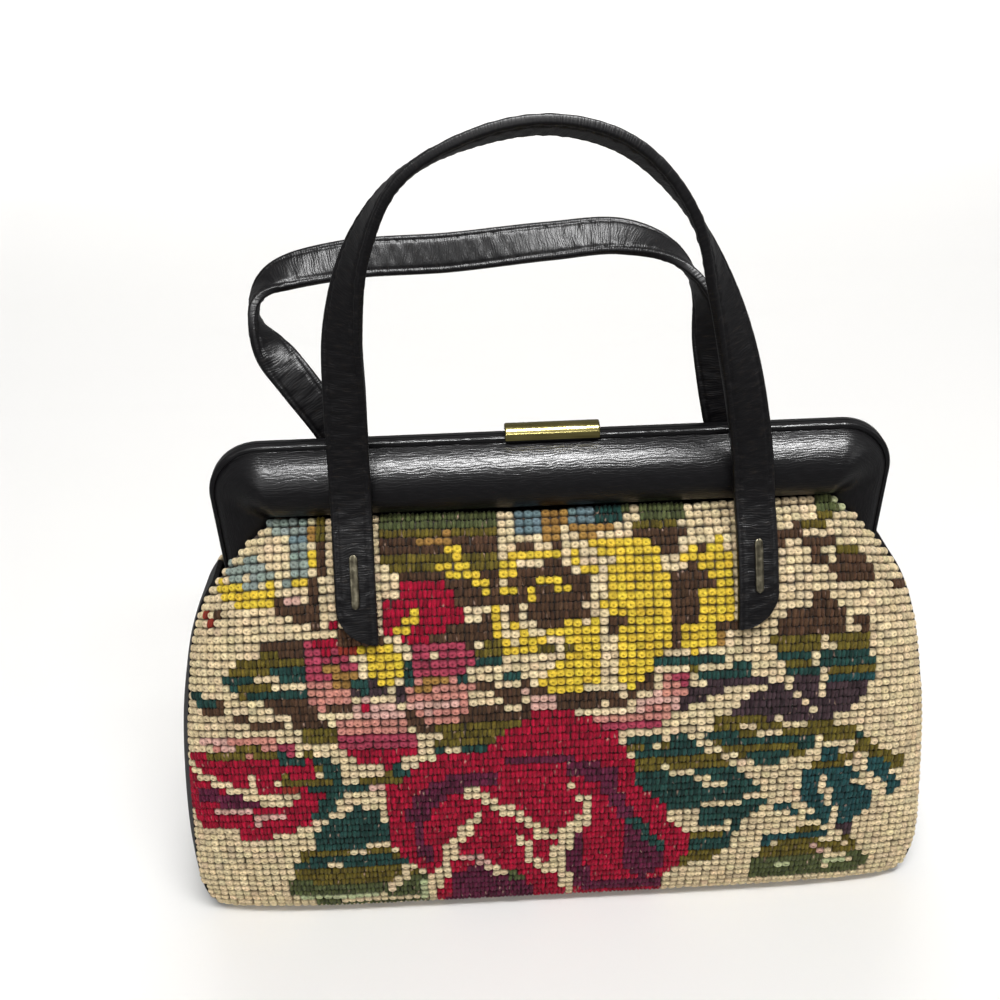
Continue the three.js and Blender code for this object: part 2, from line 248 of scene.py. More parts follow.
def buildStudio():
    corners = np.array([(-1, -1), (1, -1), (1, 1), (-1, 1)]) * studio["floorReach"] / mm
    points = np.column_stack([corners, np.full(4, -studio["floorDrop"])])
    material = newMaterial("pale painted floor", {
        "Roughness": 0.9, "Base Color": linear(studio["floor"])})[0]
    floor = makeMesh("floor", points, [np.array([[0, 1, 2, 3]])], material)
    floor.visible_glossy = False  # black leather keeps its depth above a white floor
    world = bpy.data.worlds.new("studio")
    world.use_nodes = True
    background = world.node_tree.nodes["Background"]
    background.inputs["Strength"].default_value = studio["world"]
    background.inputs["Color"].default_value = (1, 1, 1, 1)
    bpy.context.scene.world = world
    for name, position, aim, width, height, watts, unseen in studio["lights"]:
        data = bpy.data.lights.new(name, "AREA")
        data.shape = "RECTANGLE"
        data.size = width
        data.size_y = height
        data.energy = watts
        light = bpy.data.objects.new(name, data)
        bpy.context.scene.collection.objects.link(light)
        back = unit(np.array(position) - np.array(aim))
        side = unit(np.cross((0, 0, 1), back))
        light.matrix_world = standing(side, np.cross(back, side), back, position)
        if unseen:
            setattr(light, "visible_" + unseen, False)
    bpy.context.scene.view_settings.view_transform = "Standard"


buildCamera()
buildStudio()
print("camera, floor and lights placed")


# Materials

def blackLeather(name, along, across, relief, roughness, glaze, wear):
    # Black vegetable-tanned goatskin, boarded so that fine straight creases run one way, glazed and worn:
    # the eye sees a dark satin skin, hair-fine wavy creases and a greyer sheen on rubbed edges.
    # along and across are a crease's size in millimetres, relief its depth, glaze the strength of its shine.
    material, tree, surface = newMaterial(name, {"Roughness": roughness, "Specular IOR Level": glaze})
    lay = addNode(tree, "ShaderNodeAttribute", attribute_name="lay").outputs["Vector"]
    # the creases wander by up to 3 mm, over about 11 mm
    bend = addNode(tree, "ShaderNodeTexNoise", {"Vector": lay, "Scale": 0.09, "Detail": 1.0})
    waver = addNode(tree, "ShaderNodeVectorMath", {0: bend.outputs["Color"], 1: (3.0, 3.0, 0)},
                    operation="MULTIPLY")
    bent = addNode(tree, "ShaderNodeVectorMath", {0: lay, 1: waver.outputs[0]}, operation="ADD")
    stretch = addNode(tree, "ShaderNodeMapping", {
        "Vector": bent.outputs[0], "Scale": (1 / along, 1 / across, 1)}).outputs[0]
    crease = addNode(tree, "ShaderNodeTexNoise", {
        "Vector": stretch, "Scale": 0.8, "Detail": 3.0, "Roughness": 0.6}).outputs[0]
    # at this scale one wave is one crease; the noise breaks it into short lengths
    lines = addNode(tree, "ShaderNodeTexWave", {
        "Vector": stretch, "Scale": 0.314, "Distortion": 9.0, "Detail": 3.0, "Detail Scale": 1.8},
        bands_direction="Y" if across < along else "X")
    broken = addNode(tree, "ShaderNodeMath", {0: lines.outputs["Fac"], 1: crease}, operation="MULTIPLY")
    deep = addNode(tree, "ShaderNodeBump", {
        "Height": broken.outputs[0], "Strength": 1.0, "Distance": relief * mm})
    # pores 0.6 mm apart
    pebble = addNode(tree, "ShaderNodeTexVoronoi", {"Vector": lay, "Scale": 1.6}, feature="F1")
    fine = addNode(tree, "ShaderNodeBump", {
        "Height": pebble.outputs["Distance"], "Strength": 0.2, "Distance": 0.08 * mm,
        "Normal": deep.outputs[0]})
    dye = colourRamp(tree, crease, [
        (0.3, linear("#070608")), (0.55, linear("#0c0b0d")), (0.8, linear(wear))])
    tree.links.new(fine.outputs[0], surface.inputs["Normal"])
    tree.links.new(dye, surface.inputs["Base Color"])
    return material


def wornMetal(name, grain, tones, roughness):
    # grain is the number of blotches in a metre along each axis; tones run from dull to rubbed
    material, tree, surface = newMaterial(name, {"Metallic": 1.0})
    spot = addNode(tree, "ShaderNodeTexCoord").outputs["Object"]
    spread = addNode(tree, "ShaderNodeMapping", {"Vector": spot, "Scale": grain})
    blotch = addNode(tree, "ShaderNodeTexNoise", {
        "Vector": spread.outputs[0], "Scale": 1.0, "Detail": 4.0}).outputs[0]
    tone = colourRamp(tree, blotch, [(stop, linear(colour)) for stop, colour in tones])
    rough = addNode(tree, "ShaderNodeMapRange", {
        "Value": blotch, "To Min": roughness[0], "To Max": roughness[1]})
    tree.links.new(tone, surface.inputs["Base Color"])
    tree.links.new(rough.outputs[0], surface.inputs["Roughness"])
    return material


def woolYarn():
    # Four-ply tapestry wool: matt, fuzzy, each stitch its own dye lot; colour comes with the stitch, its dye
    # times a painted shade that darkens the stitch's foot and hole and lights its crown.
    # Fibres are drawn 0.6 mm apart, coarser than real ones, so that they show.
    material, tree, surface = newMaterial("tapestry wool", {
        "Roughness": 0.95, "Specular IOR Level": 0.06, "Sheen Weight": 0.06, "Sheen Roughness": 0.5})
    # the 'wool' colours hold each stitch's dye together with its painted shade and highlight
    dye = addNode(tree, "ShaderNodeAttribute", attribute_name="wool").outputs["Color"]
    spot = addNode(tree, "ShaderNodeTexCoord").outputs["Object"]
    fibre = addNode(tree, "ShaderNodeTexNoise", {
        "Vector": spot, "Scale": 1700.0, "Detail": 3.0}).outputs[0]
    shade = addNode(tree, "ShaderNodeMapRange", {
        "Value": fibre, "From Min": 0.3, "From Max": 0.7, "To Min": 0.72, "To Max": 1.18})
    tone = addNode(tree, "ShaderNodeVectorMath", {0: dye, 1: shade.outputs[0]}, operation="MULTIPLY")
    bump = addNode(tree, "ShaderNodeBump", {"Height": fibre, "Strength": 0.6, "Distance": 0.35 * mm})
    tree.links.new(tone.outputs[0], surface.inputs["Base Color"])
    tree.links.new(bump.outputs[0], surface.inputs["Normal"])
    return material


def cottonCanvas():
    # Cotton canvas under the stitches, a plain weave painted dark brown: it shows only between rows, where
    # its colour is painted shade for the grooves.
    material, tree, surface = newMaterial("cotton canvas painted dark as groove shade", {"Roughness": 0.95})
    lay = addNode(tree, "ShaderNodeAttribute", attribute_name="lay").outputs["Vector"]
    threads = addNode(tree, "ShaderNodeMapping", {
        "Vector": lay, "Scale": (1 / stitchPitch, 1 / stitchPitch, 1)})
    # both weave colours are dark brown, painted shade for the grooves between rows
    weave = addNode(tree, "ShaderNodeTexChecker", {
        "Vector": threads.outputs[0], "Scale": 2.0,
        "Color1": linear("#3b2f22"), "Color2": linear("#2a2118")})
    tree.links.new(weave.outputs["Color"], surface.inputs["Base Color"])
    return material


frameLeather = blackLeather("black boarded goatskin, frame", along=3.6, across=1.1,
                            relief=0.08, roughness=0.32, glaze=0.28, wear="#121113")
strapLeather = blackLeather("black boarded goatskin, straps", along=1.0, across=3.6,
                            relief=0.11, roughness=0.4, glaze=0.19, wear="#1f1a16")
sideLeather = blackLeather("black boarded goatskin, gusset", along=4.0, across=1.4,
                           relief=0.1, roughness=0.42, glaze=0.28, wear="#131214")
# Rolled brass, lacquer worn through: a yellow-olive metal with soft streaks along its length.
brass = wornMetal("aged rolled brass", (60, 900, 900),
                  [(0.3, "#7a7046"), (0.5, "#908655"), (0.75, "#a69b66")], (0.15, 0.23))
# Plated steel gone dull: grey-brown metal, blotched, with a bright rubbed crown.
nickel = wornMetal("tarnished nickel plate", (420, 420, 420),
                   [(0.3, "#3f3b31"), (0.55, "#605b4c"), (0.8, "#8d8773")], (0.3, 0.5))
wool = woolYarn()
canvas = cottonCanvas()
print("materials made")


# Body: needlepoint panels and gusset

body = {
    # height, half width at the seam, depth of the seam, swell of the panel, swell of the gusset
    "sections": [
        (0, 140, 37, 0, 0),
        (4, 146, 38.8, 6.2, 3),
        (12, 149.5, 39.3, 9, 5.5),
        (28, 150.5, 38.7, 10.8, 8),
        (55, 149, 35, 14.5, 8),
        (85, 147, 29, 18.5, 6),
        (110, 144, 22, 21.5, 3.5),
        (125, 141.5, 16, 24, 1.5),
        (138, 137, 10.5, 25.5, 0),
        (150, 129, 8.2, 22.8, 0),
        (165, 116, 7.9, 14.4, 0),
        (174, 105, 7.9, 2.6, 0),
    ],
    "rollPower": 5,
    "gussetTop": 146.0,
    "gussetHalf": 130.8,
    "seamGap": 0.4,
    "gussetThickness": 1.9,
    "gussetRows": 70,
    "baseRows": 50,
    "gussetColumns": 33,
}
lastSection = len(body["sections"]) - 1


def panelPoint(t, f, facing):
    # x runs to the half width; depth is the seam plus a swell that rolls off as the root of 1 - |f|^5
    section = throughRows(body["sections"], t)
    z, half, seam, swell = (section[..., k] for k in range(4))
    roll = np.sqrt(np.clip(1 - np.abs(f) ** body["rollPower"], 0, None))
    return np.stack([half * f, facing * (seam + swell * roll), z], -1)


def runLength(points):
    # distance run along a line of points, from its first one
    steps = np.linalg.norm(np.diff(points, axis=0), axis=-1)
    return np.concatenate([[0.0], np.cumsum(steps)])


# Wools of the needlepoint: dye, and whether a stitch is one open loop or two tight strands

wools = {
    "ecru": ("#cfbc97", "loop"),
    "crimson": ("#8c0b27", "strand"),
    "maroon": ("#511930", "strand"),
    "rose": ("#963a4c", "loop"),
    "pink": ("#b87d70", "loop"),
    "blush": ("#c49c8f", "loop"),
    "yellow": ("#cfb239", "loop"),
    "amber": ("#94703a", "loop"),
    "olive": ("#584d1c", "strand"),
    "moss": ("#474d2e", "strand"),
    "sage": ("#a3a981", "loop"),
    "pine": ("#1d3a35", "strand"),
    "teal": ("#1d3f40", "strand"),
    "brown": ("#443022", "strand"),
    "plum": ("#382a2e", "strand"),
    "greyBlue": ("#849088", "loop"),
    "skyBlue": ("#64787c", "loop"),
    "rust": ("#7c2b20", "strand"),
}

# The flowers, in millimetres from the panel's middle and up from its base, laid one over the other.
# A patch is an outline filled with one wool; a thread is a line of stitches with a width.

flowers = {
    "forgetMeNots": [
        ("greyBlue", 0, [(-108, 191), (-93, 191), (-94, 181), (-107, 181)]),
        ("greyBlue", 0, [(-99, 181), (-91, 178), (-92, 166), (-99, 161), (-104, 162), (-99, 170)]),
        ("skyBlue", 0, [(-98, 184), (-93, 184), (-93, 181), (-98, 181)]),
        ("greyBlue", 0, [(-119, 172), (-108, 171), (-107, 164), (-114, 163), (-119, 168)]),
        ("greyBlue", 0, [(-128, 167), (-120, 166), (-118, 161), (-128, 161)]),
        ("greyBlue", 3.4, [(-117, 160), (-113, 161)]),
        ("amber", 3.4, [(-92, 188), (-92, 182)]),
        ("olive", 4.5, [(-88, 188), (-88, 182)]),
        ("yellow", 3.4, [(-91, 175), (-91, 170)]),
        ("brown", 3.6, [(-88, 178), (-87, 172), (-90, 163), (-92, 156)]),
        ("yellow", 0, [(-134, 159), (-124, 160), (-113, 160), (-108, 164), (-104, 160), (-107, 154),
                       (-116, 152), (-124, 154), (-132, 154)]),
        ("yellow", 3.4, [(-94, 165), (-97, 163)]),
        ("brown", 0, [(-106, 158), (-98, 156), (-92, 159), (-88, 150), (-90, 147), (-98, 151), (-106, 153)]),
        ("blush", 3.4, [(-102, 157), (-97, 158)]),
        ("rust", 3.4, [(-137, 145), (-135, 145)]),
        ("brown", 3.4, [(-131, 147), (-130, 147)]),
    ],
    "leftLeaf": [
        ("brown", 0, [(-110, 142), (-97, 144), (-93, 140), (-95, 136), (-105, 137), (-114, 136)]),
        ("olive", 0, [(-120, 134), (-112, 137), (-95, 138), (-95, 131), (-105, 129), (-129, 125),
                      (-126, 130)]),
        ("pine", 0, [(-109, 131), (-95, 132), (-95, 127), (-106, 127)]),
        ("pine", 0, [(-129, 126), (-117, 128), (-111, 124), (-124, 121)]),
        ("olive", 0, [(-121, 124), (-110, 126), (-106, 121), (-121, 119)]),
        ("pine", 0, [(-119, 120), (-108, 123), (-95, 124), (-95, 118), (-119, 118)]),
        ("ecru", 3.6, [(-115, 126), (-110, 126)]),
        ("ecru", 3.6, [(-107, 124), (-98, 126)]),
        ("brown", 0, [(-115, 119), (-95, 119), (-92, 113), (-97, 110), (-106, 113), (-113, 115)]),
        ("brown", 5, [(-117, 107), (-107, 107)]),
        ("brown", 5, [(-99, 109), (-87, 112)]),
        ("pine", 3.6, [(-143, 113), (-134, 115)]),
        ("brown", 3.6, [(-136, 110), (-131, 113)]),
        ("brown", 5, [(-124, 109), (-123, 109)]),
        ("olive", 0, [(-100, 107), (-87, 108), (-85, 99), (-100, 100)]),
    ],
    "underFrameLeaves": [
        ("moss", 0, [(-67, 191), (-22, 191), (-22, 185), (-67, 185)]),
        ("olive", 0, [(-67, 185), (-22, 185), (-22, 180), (-67, 180)]),
        ("brown", 0, [(-64, 180), (-20, 180), (-20, 173), (-64, 173)]),
        ("olive", 0, [(-64, 173), (-22, 173), (-22, 169), (-64, 169)]),
        ("brown", 0, [(-60, 169), (-22, 169), (-21, 150), (-30, 147), (-37, 150), (-37, 156), (-44, 163),
                      (-58, 165)]),
        ("amber", 3.4, [(-52, 178), (-44, 179)]),
        ("yellow", 4.5, [(-39, 177), (-36, 173)]),
        ("yellow", 4.5, [(-43, 169), (-38, 168)]),
        ("yellow", 5, [(-33, 168), (-30, 163), (-27, 161)]),
        ("ecru", 3.4, [(-33, 188), (-32, 188)]),
        ("amber", 3.4, [(-41, 184), (-41, 181)]),
        ("ecru", 6, [(-19, 191), (-17, 173)]),
        ("skyBlue", 0, [(-15, 191), (-6, 191), (-4, 186), (-7, 181), (-12, 181), (-15, 185)]),
        ("amber", 0, [(-6, 191), (4, 191), (5, 187), (14, 187), (22, 182), (14, 179), (2, 179), (-6, 178)]),
        ("skyBlue", 0, [(4, 191), (14, 191), (14, 186), (5, 186)]),
        ("pine", 0, [(14, 191), (27, 191), (24, 183), (14, 184)]),
        ("moss", 0, [(26, 191), (48, 191), (48, 185), (30, 185)]),
        ("olive", 0, [(26, 186), (46, 186), (46, 180), (28, 180)]),
        ("ecru", 4, [(24, 184), (30, 188)]),
        ("brown", 0, [(29, 180), (48, 180), (46, 173), (36, 171), (32, 174)]),
    ],
    "yellowRose": [
        ("yellow", 0, [(6, 179), (24, 178), (34, 178), (39, 170), (42, 160), (43, 148), (41, 136), (36, 128),
                       (27, 119), (20, 121), (-2, 118), (-8, 121), (-14, 127), (-4, 135), (8, 144), (16, 150),
                       (17, 158), (13, 164), (4, 168)]),
        ("brown", 0, [(-14, 179), (1, 179), (2, 172), (-13, 172)]),
        ("yellow", 3.4, [(-18, 172), (-9, 172), (0, 174)]),
        ("ecru", 3.4, [(-9, 175), (-2, 175)]),
        ("yellow", 0, [(-22, 170), (-14, 171), (-14, 167), (-19, 163), (-22, 164)]),
        ("brown", 0, [(-12, 169), (0, 170), (8, 165), (13, 161), (12, 151), (8, 145), (2, 141), (-6, 142),
                      (-12, 148), (-14, 156), (-20, 163), (-17, 165)]),
        ("brown", 0, [(-23, 163), (-14, 160), (-14, 150), (-19, 143), (-20, 155), (-23, 157)]),
        ("yellow", 3.4, [(-12, 154), (-11, 160), (-7, 163), (0, 163)]),
        ("yellow", 3.4, [(1, 160), (3, 160)]),
        ("yellow", 3.4, [(4, 146), (6, 145)]),
        ("yellow", 3.4, [(-20, 161), (-17, 160)]),
        ("yellow", 4, [(-25, 154), (-24, 145), (-21, 138)]),
        ("yellow", 4, [(-15, 146), (-13, 140), (-7, 138)]),
        ("ecru", 4, [(-15, 151), (-12, 146), (-8, 142)]),
        ("yellow", 3.4, [(-2, 142), (3, 142)]),
        ("olive", 0, [(-33, 139), (-24, 140), (-14, 137), (-4, 138), (7, 140), (2, 134), (-12, 134),
                      (-31, 133)]),
        ("yellow", 3.6, [(-20, 137), (-14, 135), (-8, 134)]),
        ("ecru", 0, [(-18, 131), (-9, 133), (3, 137), (-3, 128), (-8, 122), (-15, 125)]),
        ("ecru", 3.6, [(-22, 135), (-20, 132)]),
        ("pine", 4, [(-29, 133), (-25, 133)]),
        ("pine", 4, [(-21, 127), (-18, 125)]),
        ("ecru", 5, [(3, 181), (10, 175), (13, 171)]),
        ("ecru", 4, [(12, 170), (18, 167), (22, 171)]),
        ("ecru", 4.5, [(17, 162), (16, 156)]),
        ("ecru", 3.6, [(11, 153), (13, 150), (17, 147)]),
        ("ecru", 5, [(17, 147), (18, 139), (19, 121)]),
        ("brown", 4, [(22, 146), (21, 142)]),
        ("brown", 0, [(-16, 124), (-7, 120), (0, 117), (16, 116), (20, 119), (27, 118), (34, 124), (40, 121),
                      (30, 116), (26, 110), (12, 110), (0, 111), (-10, 115)]),
        ("ecru", 3.6, [(16, 113), (18, 113)]),
        ("ecru", 3.6, [(22, 118), (26, 114)]),
    ],
    "yellowPetal": [
        ("yellow", 0, [(50, 178), (62, 176), (67, 165), (67, 148), (62, 140), (57, 134), (50, 131), (46, 136),
                       (46, 142), (52, 150), (52, 160), (46, 166), (46, 172)]),
        ("ecru", 0, [(41, 172), (46, 173), (48, 166), (42, 165)]),
        ("ecru", 3.6, [(48, 174), (56, 177)]),
        ("brown", 0, [(41, 165), (47, 166), (48, 168), (58, 169), (57, 163), (51, 161), (50, 157), (53, 152),
                      (51, 146), (47, 144), (46, 134), (42, 134), (43, 146), (43, 157)]),
        ("yellow", 3.4, [(52, 165), (56, 165)]),
        ("brown", 3.6, [(54, 173), (55, 173)]),
        ("brown", 3.6, [(54, 159), (56, 158)]),
        ("brown", 3.6, [(62, 143), (66, 142)]),
        ("amber", 3.4, [(61, 139), (60, 135)]),
    ],
    "fiveStarFlower": [
        ("crimson", 0, [(-66, 158), (-60, 163), (-45, 165), (-37, 156), (-36, 150), (-42, 144), (-52, 140),
                        (-63, 143), (-66, 148)]),
        ("ecru", 0, [(-67, 172), (-64, 172), (-63, 157), (-66, 155)]),
        ("ecru", 3.6, [(-66, 154), (-66, 143)]),
        ("ecru", 3.6, [(-62, 158), (-60, 162)]),
        ("brown", 0, [(-50, 143), (-42, 146), (-35, 150), (-26, 149), (-25, 141), (-34, 139), (-40, 140)]),
        ("ecru", 3.6, [(-35, 151), (-28, 151), (-27, 154)]),
        ("yellow", 4.5, [(-54, 151), (-58, 146), (-61, 141)]),
        ("rose", 0, [(-58, 140), (-50, 141), (-36, 141), (-33, 135), (-29, 131), (-34, 128), (-54, 127),
                     (-54, 134)]),
        ("pink", 0, [(-54, 128), (-32, 129), (-32, 121), (-36, 114), (-40, 106), (-43, 104), (-52, 108),
                     (-60, 114), (-59, 122)]),
        ("blush", 4, [(-58, 116), (-50, 114), (-40, 116)]),
        ("ecru", 3.4, [(-49, 138), (-48, 137)]),
        ("amber", 4.5, [(-54, 122), (-48, 125), (-44, 126)]),
        ("ecru", 3.6, [(-34, 129), (-33, 127)]),
        ("pine", 4.5, [(-35, 125), (-33, 126)]),
        ("rose", 0, [(-96, 143), (-89, 145), (-83, 141), (-78, 135), (-75, 129), (-80, 124), (-95, 125),
                     (-94, 133)]),
        ("crimson", 0, [(-93, 141), (-89, 146), (-83, 142), (-86, 138)]),
        ("crimson", 3.6, [(-84, 148), (-80, 146)]),
        ("pink", 0, [(-95, 126), (-80, 126), (-77, 120), (-82, 115), (-92, 115), (-95, 119)]),
        ("amber", 3.6, [(-87, 131), (-85, 131)]),
        ("amber", 4.5, [(-83, 127), (-78, 128)]),
        ("brown", 0, [(-84, 146), (-79, 147), (-66, 144), (-63, 138), (-76, 136)]),
        ("rust", 4, [(-79, 138), (-73, 140)]),
        ("amber", 3.4, [(-75, 140), (-72, 138)]),
        ("yellow", 0, [(-75, 139), (-66, 141), (-59, 136), (-57, 130), (-62, 124), (-67, 124), (-71, 129),
                       (-73, 134)]),
        ("ecru", 3.6, [(-73, 131), (-73, 128), (-70, 125)]),
        ("ecru", 3.6, [(-61, 141), (-58, 138)]),
        ("plum", 0, [(-77, 126), (-71, 127), (-66, 123), (-60, 126), (-55, 133), (-55, 127), (-60, 119),
                     (-78, 120)]),
        ("pine", 5, [(-57, 128), (-56, 131)]),
        ("pine", 4, [(-77, 125), (-73, 124)]),
        ("ecru", 3.4, [(-66, 121), (-64, 121)]),
        ("blush", 0, [(-82, 117), (-74, 119), (-63, 118), (-59, 112), (-62, 109), (-80, 110)]),
        ("pink", 0, [(-86, 110), (-60, 110), (-57, 103), (-86, 103)]),
        ("rose", 0, [(-87, 104), (-57, 104), (-55, 97), (-84, 97)]),
        ("crimson", 0, [(-86, 98), (-55, 98), (-61, 91), (-66, 86), (-74, 88), (-82, 93)]),
        ("crimson", 4, [(-74, 116), (-73, 116)]),
        ("brown", 0, [(-60, 118), (-58, 112), (-56, 104), (-46, 104), (-50, 107), (-57, 113)]),
        ("brown", 5, [(-86, 114), (-83, 116)]),
        ("ecru", 3.6, [(-90, 113), (-87, 113)]),
    ],
    "middleStems": [
        ("brown", 0, [(-33, 125), (-22, 121), (-16, 122), (-13, 112), (-26, 110), (-38, 109), (-34, 114),
                      (-25, 113), (-19, 117), (-30, 121)]),
        ("ecru", 3.6, [(-32, 126), (-24, 125), (-17, 122)]),
        ("ecru", 4, [(-32, 119), (-25, 117), (-20, 113)]),
        ("ecru", 4, [(-21, 112), (-16, 112)]),
        ("brown", 0, [(-40, 110), (-26, 112), (-12, 110), (-14, 106), (-40, 105)]),
        ("olive", 0, [(-52, 105), (-40, 107), (-16, 106), (-20, 101), (-30, 97), (-46, 97), (-52, 100)]),
        ("ecru", 4, [(-55, 100), (-48, 101)]),
        ("blush", 0, [(-15, 121), (-8, 116), (-3, 117), (-3, 110), (-11, 112)]),
        ("pine", 4, [(-36, 95), (-30, 95)]),
        ("pine", 4, [(-49, 96), (-46, 94)]),
    ],
    "pinkCrescent": [
        ("rose", 0, [(8, 108), (26, 107), (43, 108), (38, 100), (20, 98), (10, 101)]),
        ("blush", 0, [(28, 113), (38, 117), (48, 113), (44, 107), (28, 108)]),
        ("pink", 0, [(10, 109), (30, 109), (44, 110), (40, 103), (14, 104)]),
        ("pink", 0, [(38, 120), (43, 126), (50, 123), (51, 116), (44, 113), (38, 115)]),
        ("rose", 3.6, [(44, 124), (47, 120)]),
        ("ecru", 3.4, [(45, 127), (49, 123)]),
    ],
    "rightStripes": [
        ("pine", 0, [(36, 130), (45, 132), (63, 131), (64, 128), (38, 127)]),
        ("olive", 0, [(50, 129), (58, 128), (72, 127), (72, 124), (50, 124)]),
        ("pine", 0, [(52, 125), (71, 126), (71, 121), (50, 121)]),
        ("ecru", 3.4, [(55, 126), (64, 126)]),
        ("ecru", 3.4, [(51, 120), (60, 119)]),
        ("plum", 0, [(48, 117), (62, 121), (80, 119), (86, 117), (90, 111), (97, 105), (100, 98), (60, 97),
                     (66, 103), (50, 107), (44, 106)]),
        ("ecru", 3.6, [(64, 116), (78, 114)]),
        ("ecru", 3.6, [(56, 113), (71, 111)]),
        ("ecru", 4, [(52, 109), (68, 108)]),
        ("ecru", 4, [(44, 104), (66, 104)]),
    ],
    "rightSprig": [
        ("moss", 0, [(100, 191), (108, 189), (112, 183), (104, 181), (100, 184)]),
        ("sage", 4, [(108, 187), (112, 183)]),
        ("olive", 0, [(92, 179), (104, 182), (106, 178), (98, 175), (91, 176)]),
        ("brown", 4, [(83, 173), (92, 177)]),
        ("brown", 0, [(93, 173), (106, 172), (104, 169), (94, 170)]),
        ("brown", 0, [(95, 170), (102, 166), (110, 164), (119, 163), (123, 154), (116, 152), (106, 157),
                      (98, 163), (95, 166)]),
        ("olive", 0, [(103, 170), (112, 168), (119, 165), (108, 164)]),
        ("ecru", 3.4, [(101, 167), (105, 163)]),
        ("brown", 3.6, [(134, 147), (140, 144)]),
    ],
    "rightLeaf": [
        ("brown", 0, [(98, 154), (104, 150), (108, 143), (119, 139), (119, 133), (110, 133), (100, 137),
                      (81, 138), (83, 146), (90, 147), (96, 150)]),
        ("ecru", 3.4, [(84, 147), (87, 147)]),
        ("ecru", 3.4, [(93, 148), (96, 146)]),
        ("ecru", 4, [(110, 140), (114, 136)]),
        ("olive", 0, [(80, 138), (100, 135), (119, 134), (120, 129), (100, 129), (81, 130)]),
        ("pine", 0, [(81, 130), (100, 130), (118, 127), (123, 123), (118, 121), (104, 122), (90, 123),
                     (83, 126)]),
        ("olive", 0, [(88, 127), (97, 127), (95, 122), (86, 123)]),
        ("olive", 0, [(104, 124), (121, 122), (121, 118), (104, 119)]),
        ("pine", 0, [(85, 123), (100, 122), (101, 118), (89, 118)]),
        ("teal", 0, [(102, 120), (124, 119), (123, 114), (104, 116)]),
        ("plum", 0, [(89, 119), (100, 119), (103, 117), (121, 115), (118, 109), (110, 100), (100, 98),
                     (97, 105), (90, 112)]),
        ("ecru", 3.4, [(101, 133), (103, 130)]),
        ("ecru", 3.6, [(97, 128), (100, 121), (102, 111)]),
        ("ecru", 3.6, [(81, 126), (84, 118), (91, 112), (98, 105)]),
        ("ecru", 3.4, [(106, 101), (108, 101)]),
    ],
    "rightBands": [
        ("olive", 0, [(48, 102), (70, 103), (98, 100), (110, 97), (122, 91), (112, 88), (100, 92), (80, 93),
                      (60, 94), (56, 96)]),
        ("ecru", 3.4, [(72, 98), (83, 96)]),
        ("ecru", 3.4, [(83, 101), (94, 98)]),
        ("pine", 4.5, [(56, 95), (78, 92), (98, 90)]),
        ("olive", 0, [(62, 91), (80, 90), (97, 88), (95, 84), (80, 84), (64, 86)]),
        ("pine", 4.5, [(73, 86), (80, 83), (88, 85)]),
        ("pine", 4, [(118, 89), (124, 84)]),
        ("olive", 5, [(118, 86), (128, 78), (136, 73)]),
        ("teal", 6, [(125, 75), (131, 68), (136, 61)]),
        ("olive", 5, [(104, 84), (113, 80)]),
        ("teal", 4, [(104, 83), (111, 82)]),
        ("olive", 0, [(24, 96), (62, 93), (66, 82), (30, 80), (27, 90)]),
        ("ecru", 0, [(22, 99), (60, 105), (56, 96), (36, 97)]),
        ("pine", 0, [(25, 96), (37, 96), (37, 92), (24, 93)]),
        ("pine", 4, [(44, 94), (55, 93)]),
        ("ecru", 3.4, [(36, 94), (38, 92)]),
        ("pine", 0, [(28, 90), (60, 90), (63, 86), (30, 86)]),
        ("pine", 0, [(28, 81), (58, 81), (70, 79), (73, 74), (77, 70), (81, 64), (80, 58), (70, 56), (62, 61),
                     (42, 61), (34, 70), (29, 76)]),
        ("ecru", 3.8, [(53, 93), (60, 89), (66, 84)]),
        ("ecru", 3.4, [(40, 83), (41, 83)]),
        ("ecru", 3.6, [(42, 80), (51, 79)]),
        ("ecru", 4.5, [(54, 75), (62, 72)]),
        ("ecru", 0, [(41, 61), (56, 60), (58, 52), (50, 47), (43, 51)]),
        ("ecru", 3.6, [(56, 62), (72, 61)]),
        ("ecru", 3.6, [(73, 64), (77, 65)]),
        ("pine", 0, [(56, 59), (70, 61), (76, 58), (72, 50), (68, 44), (60, 46), (54, 52)]),
        ("ecru", 3.6, [(66, 51), (67, 50)]),
        ("ecru", 3.6, [(62, 48), (65, 46)]),
        ("olive", 0, [(51, 46), (66, 46), (66, 41), (51, 41)]),
        ("pine", 0, [(50, 42), (68, 43), (68, 36), (50, 36)]),
        ("olive", 0, [(48, 37), (67, 37), (60, 30), (48, 28)]),
    ],
    "tealLeaf": [
        ("teal", 0, [(96, 75), (100, 78), (112, 78), (117, 76), (118, 70), (122, 66), (126, 58), (123, 50),
                     (118, 46), (110, 46), (102, 50), (94, 53), (87, 58), (87, 61), (95, 61), (94, 66)]),
        ("olive", 4, [(101, 79), (112, 79)]),
        ("ecru", 3.6, [(104, 71), (106, 64), (109, 57), (111, 49)]),
        ("ecru", 3.6, [(93, 58), (98, 57)]),
        ("ecru", 3.4, [(99, 55), (100, 54)]),
        ("ecru", 3.4, [(118, 68), (120, 66)]),
        ("olive", 4.5, [(97, 43), (105, 43)]),
    ],
    "lowerRightLeaf": [
        ("teal", 4, [(84, 40), (100, 42), (108, 40)]),
        ("olive", 0, [(82, 38), (106, 39), (110, 34), (108, 29), (83, 29)]),
        ("olive", 0, [(110, 37), (120, 39), (123, 30), (112, 29)]),
        ("plum", 4, [(115, 43), (118, 42)]),
        ("ecru", 3.6, [(112, 39), (118, 35)]),
        ("blush", 3.6, [(103, 34), (108, 32)]),
        ("moss", 0, [(78, 30), (96, 28), (108, 29), (108, 21), (80, 21)]),
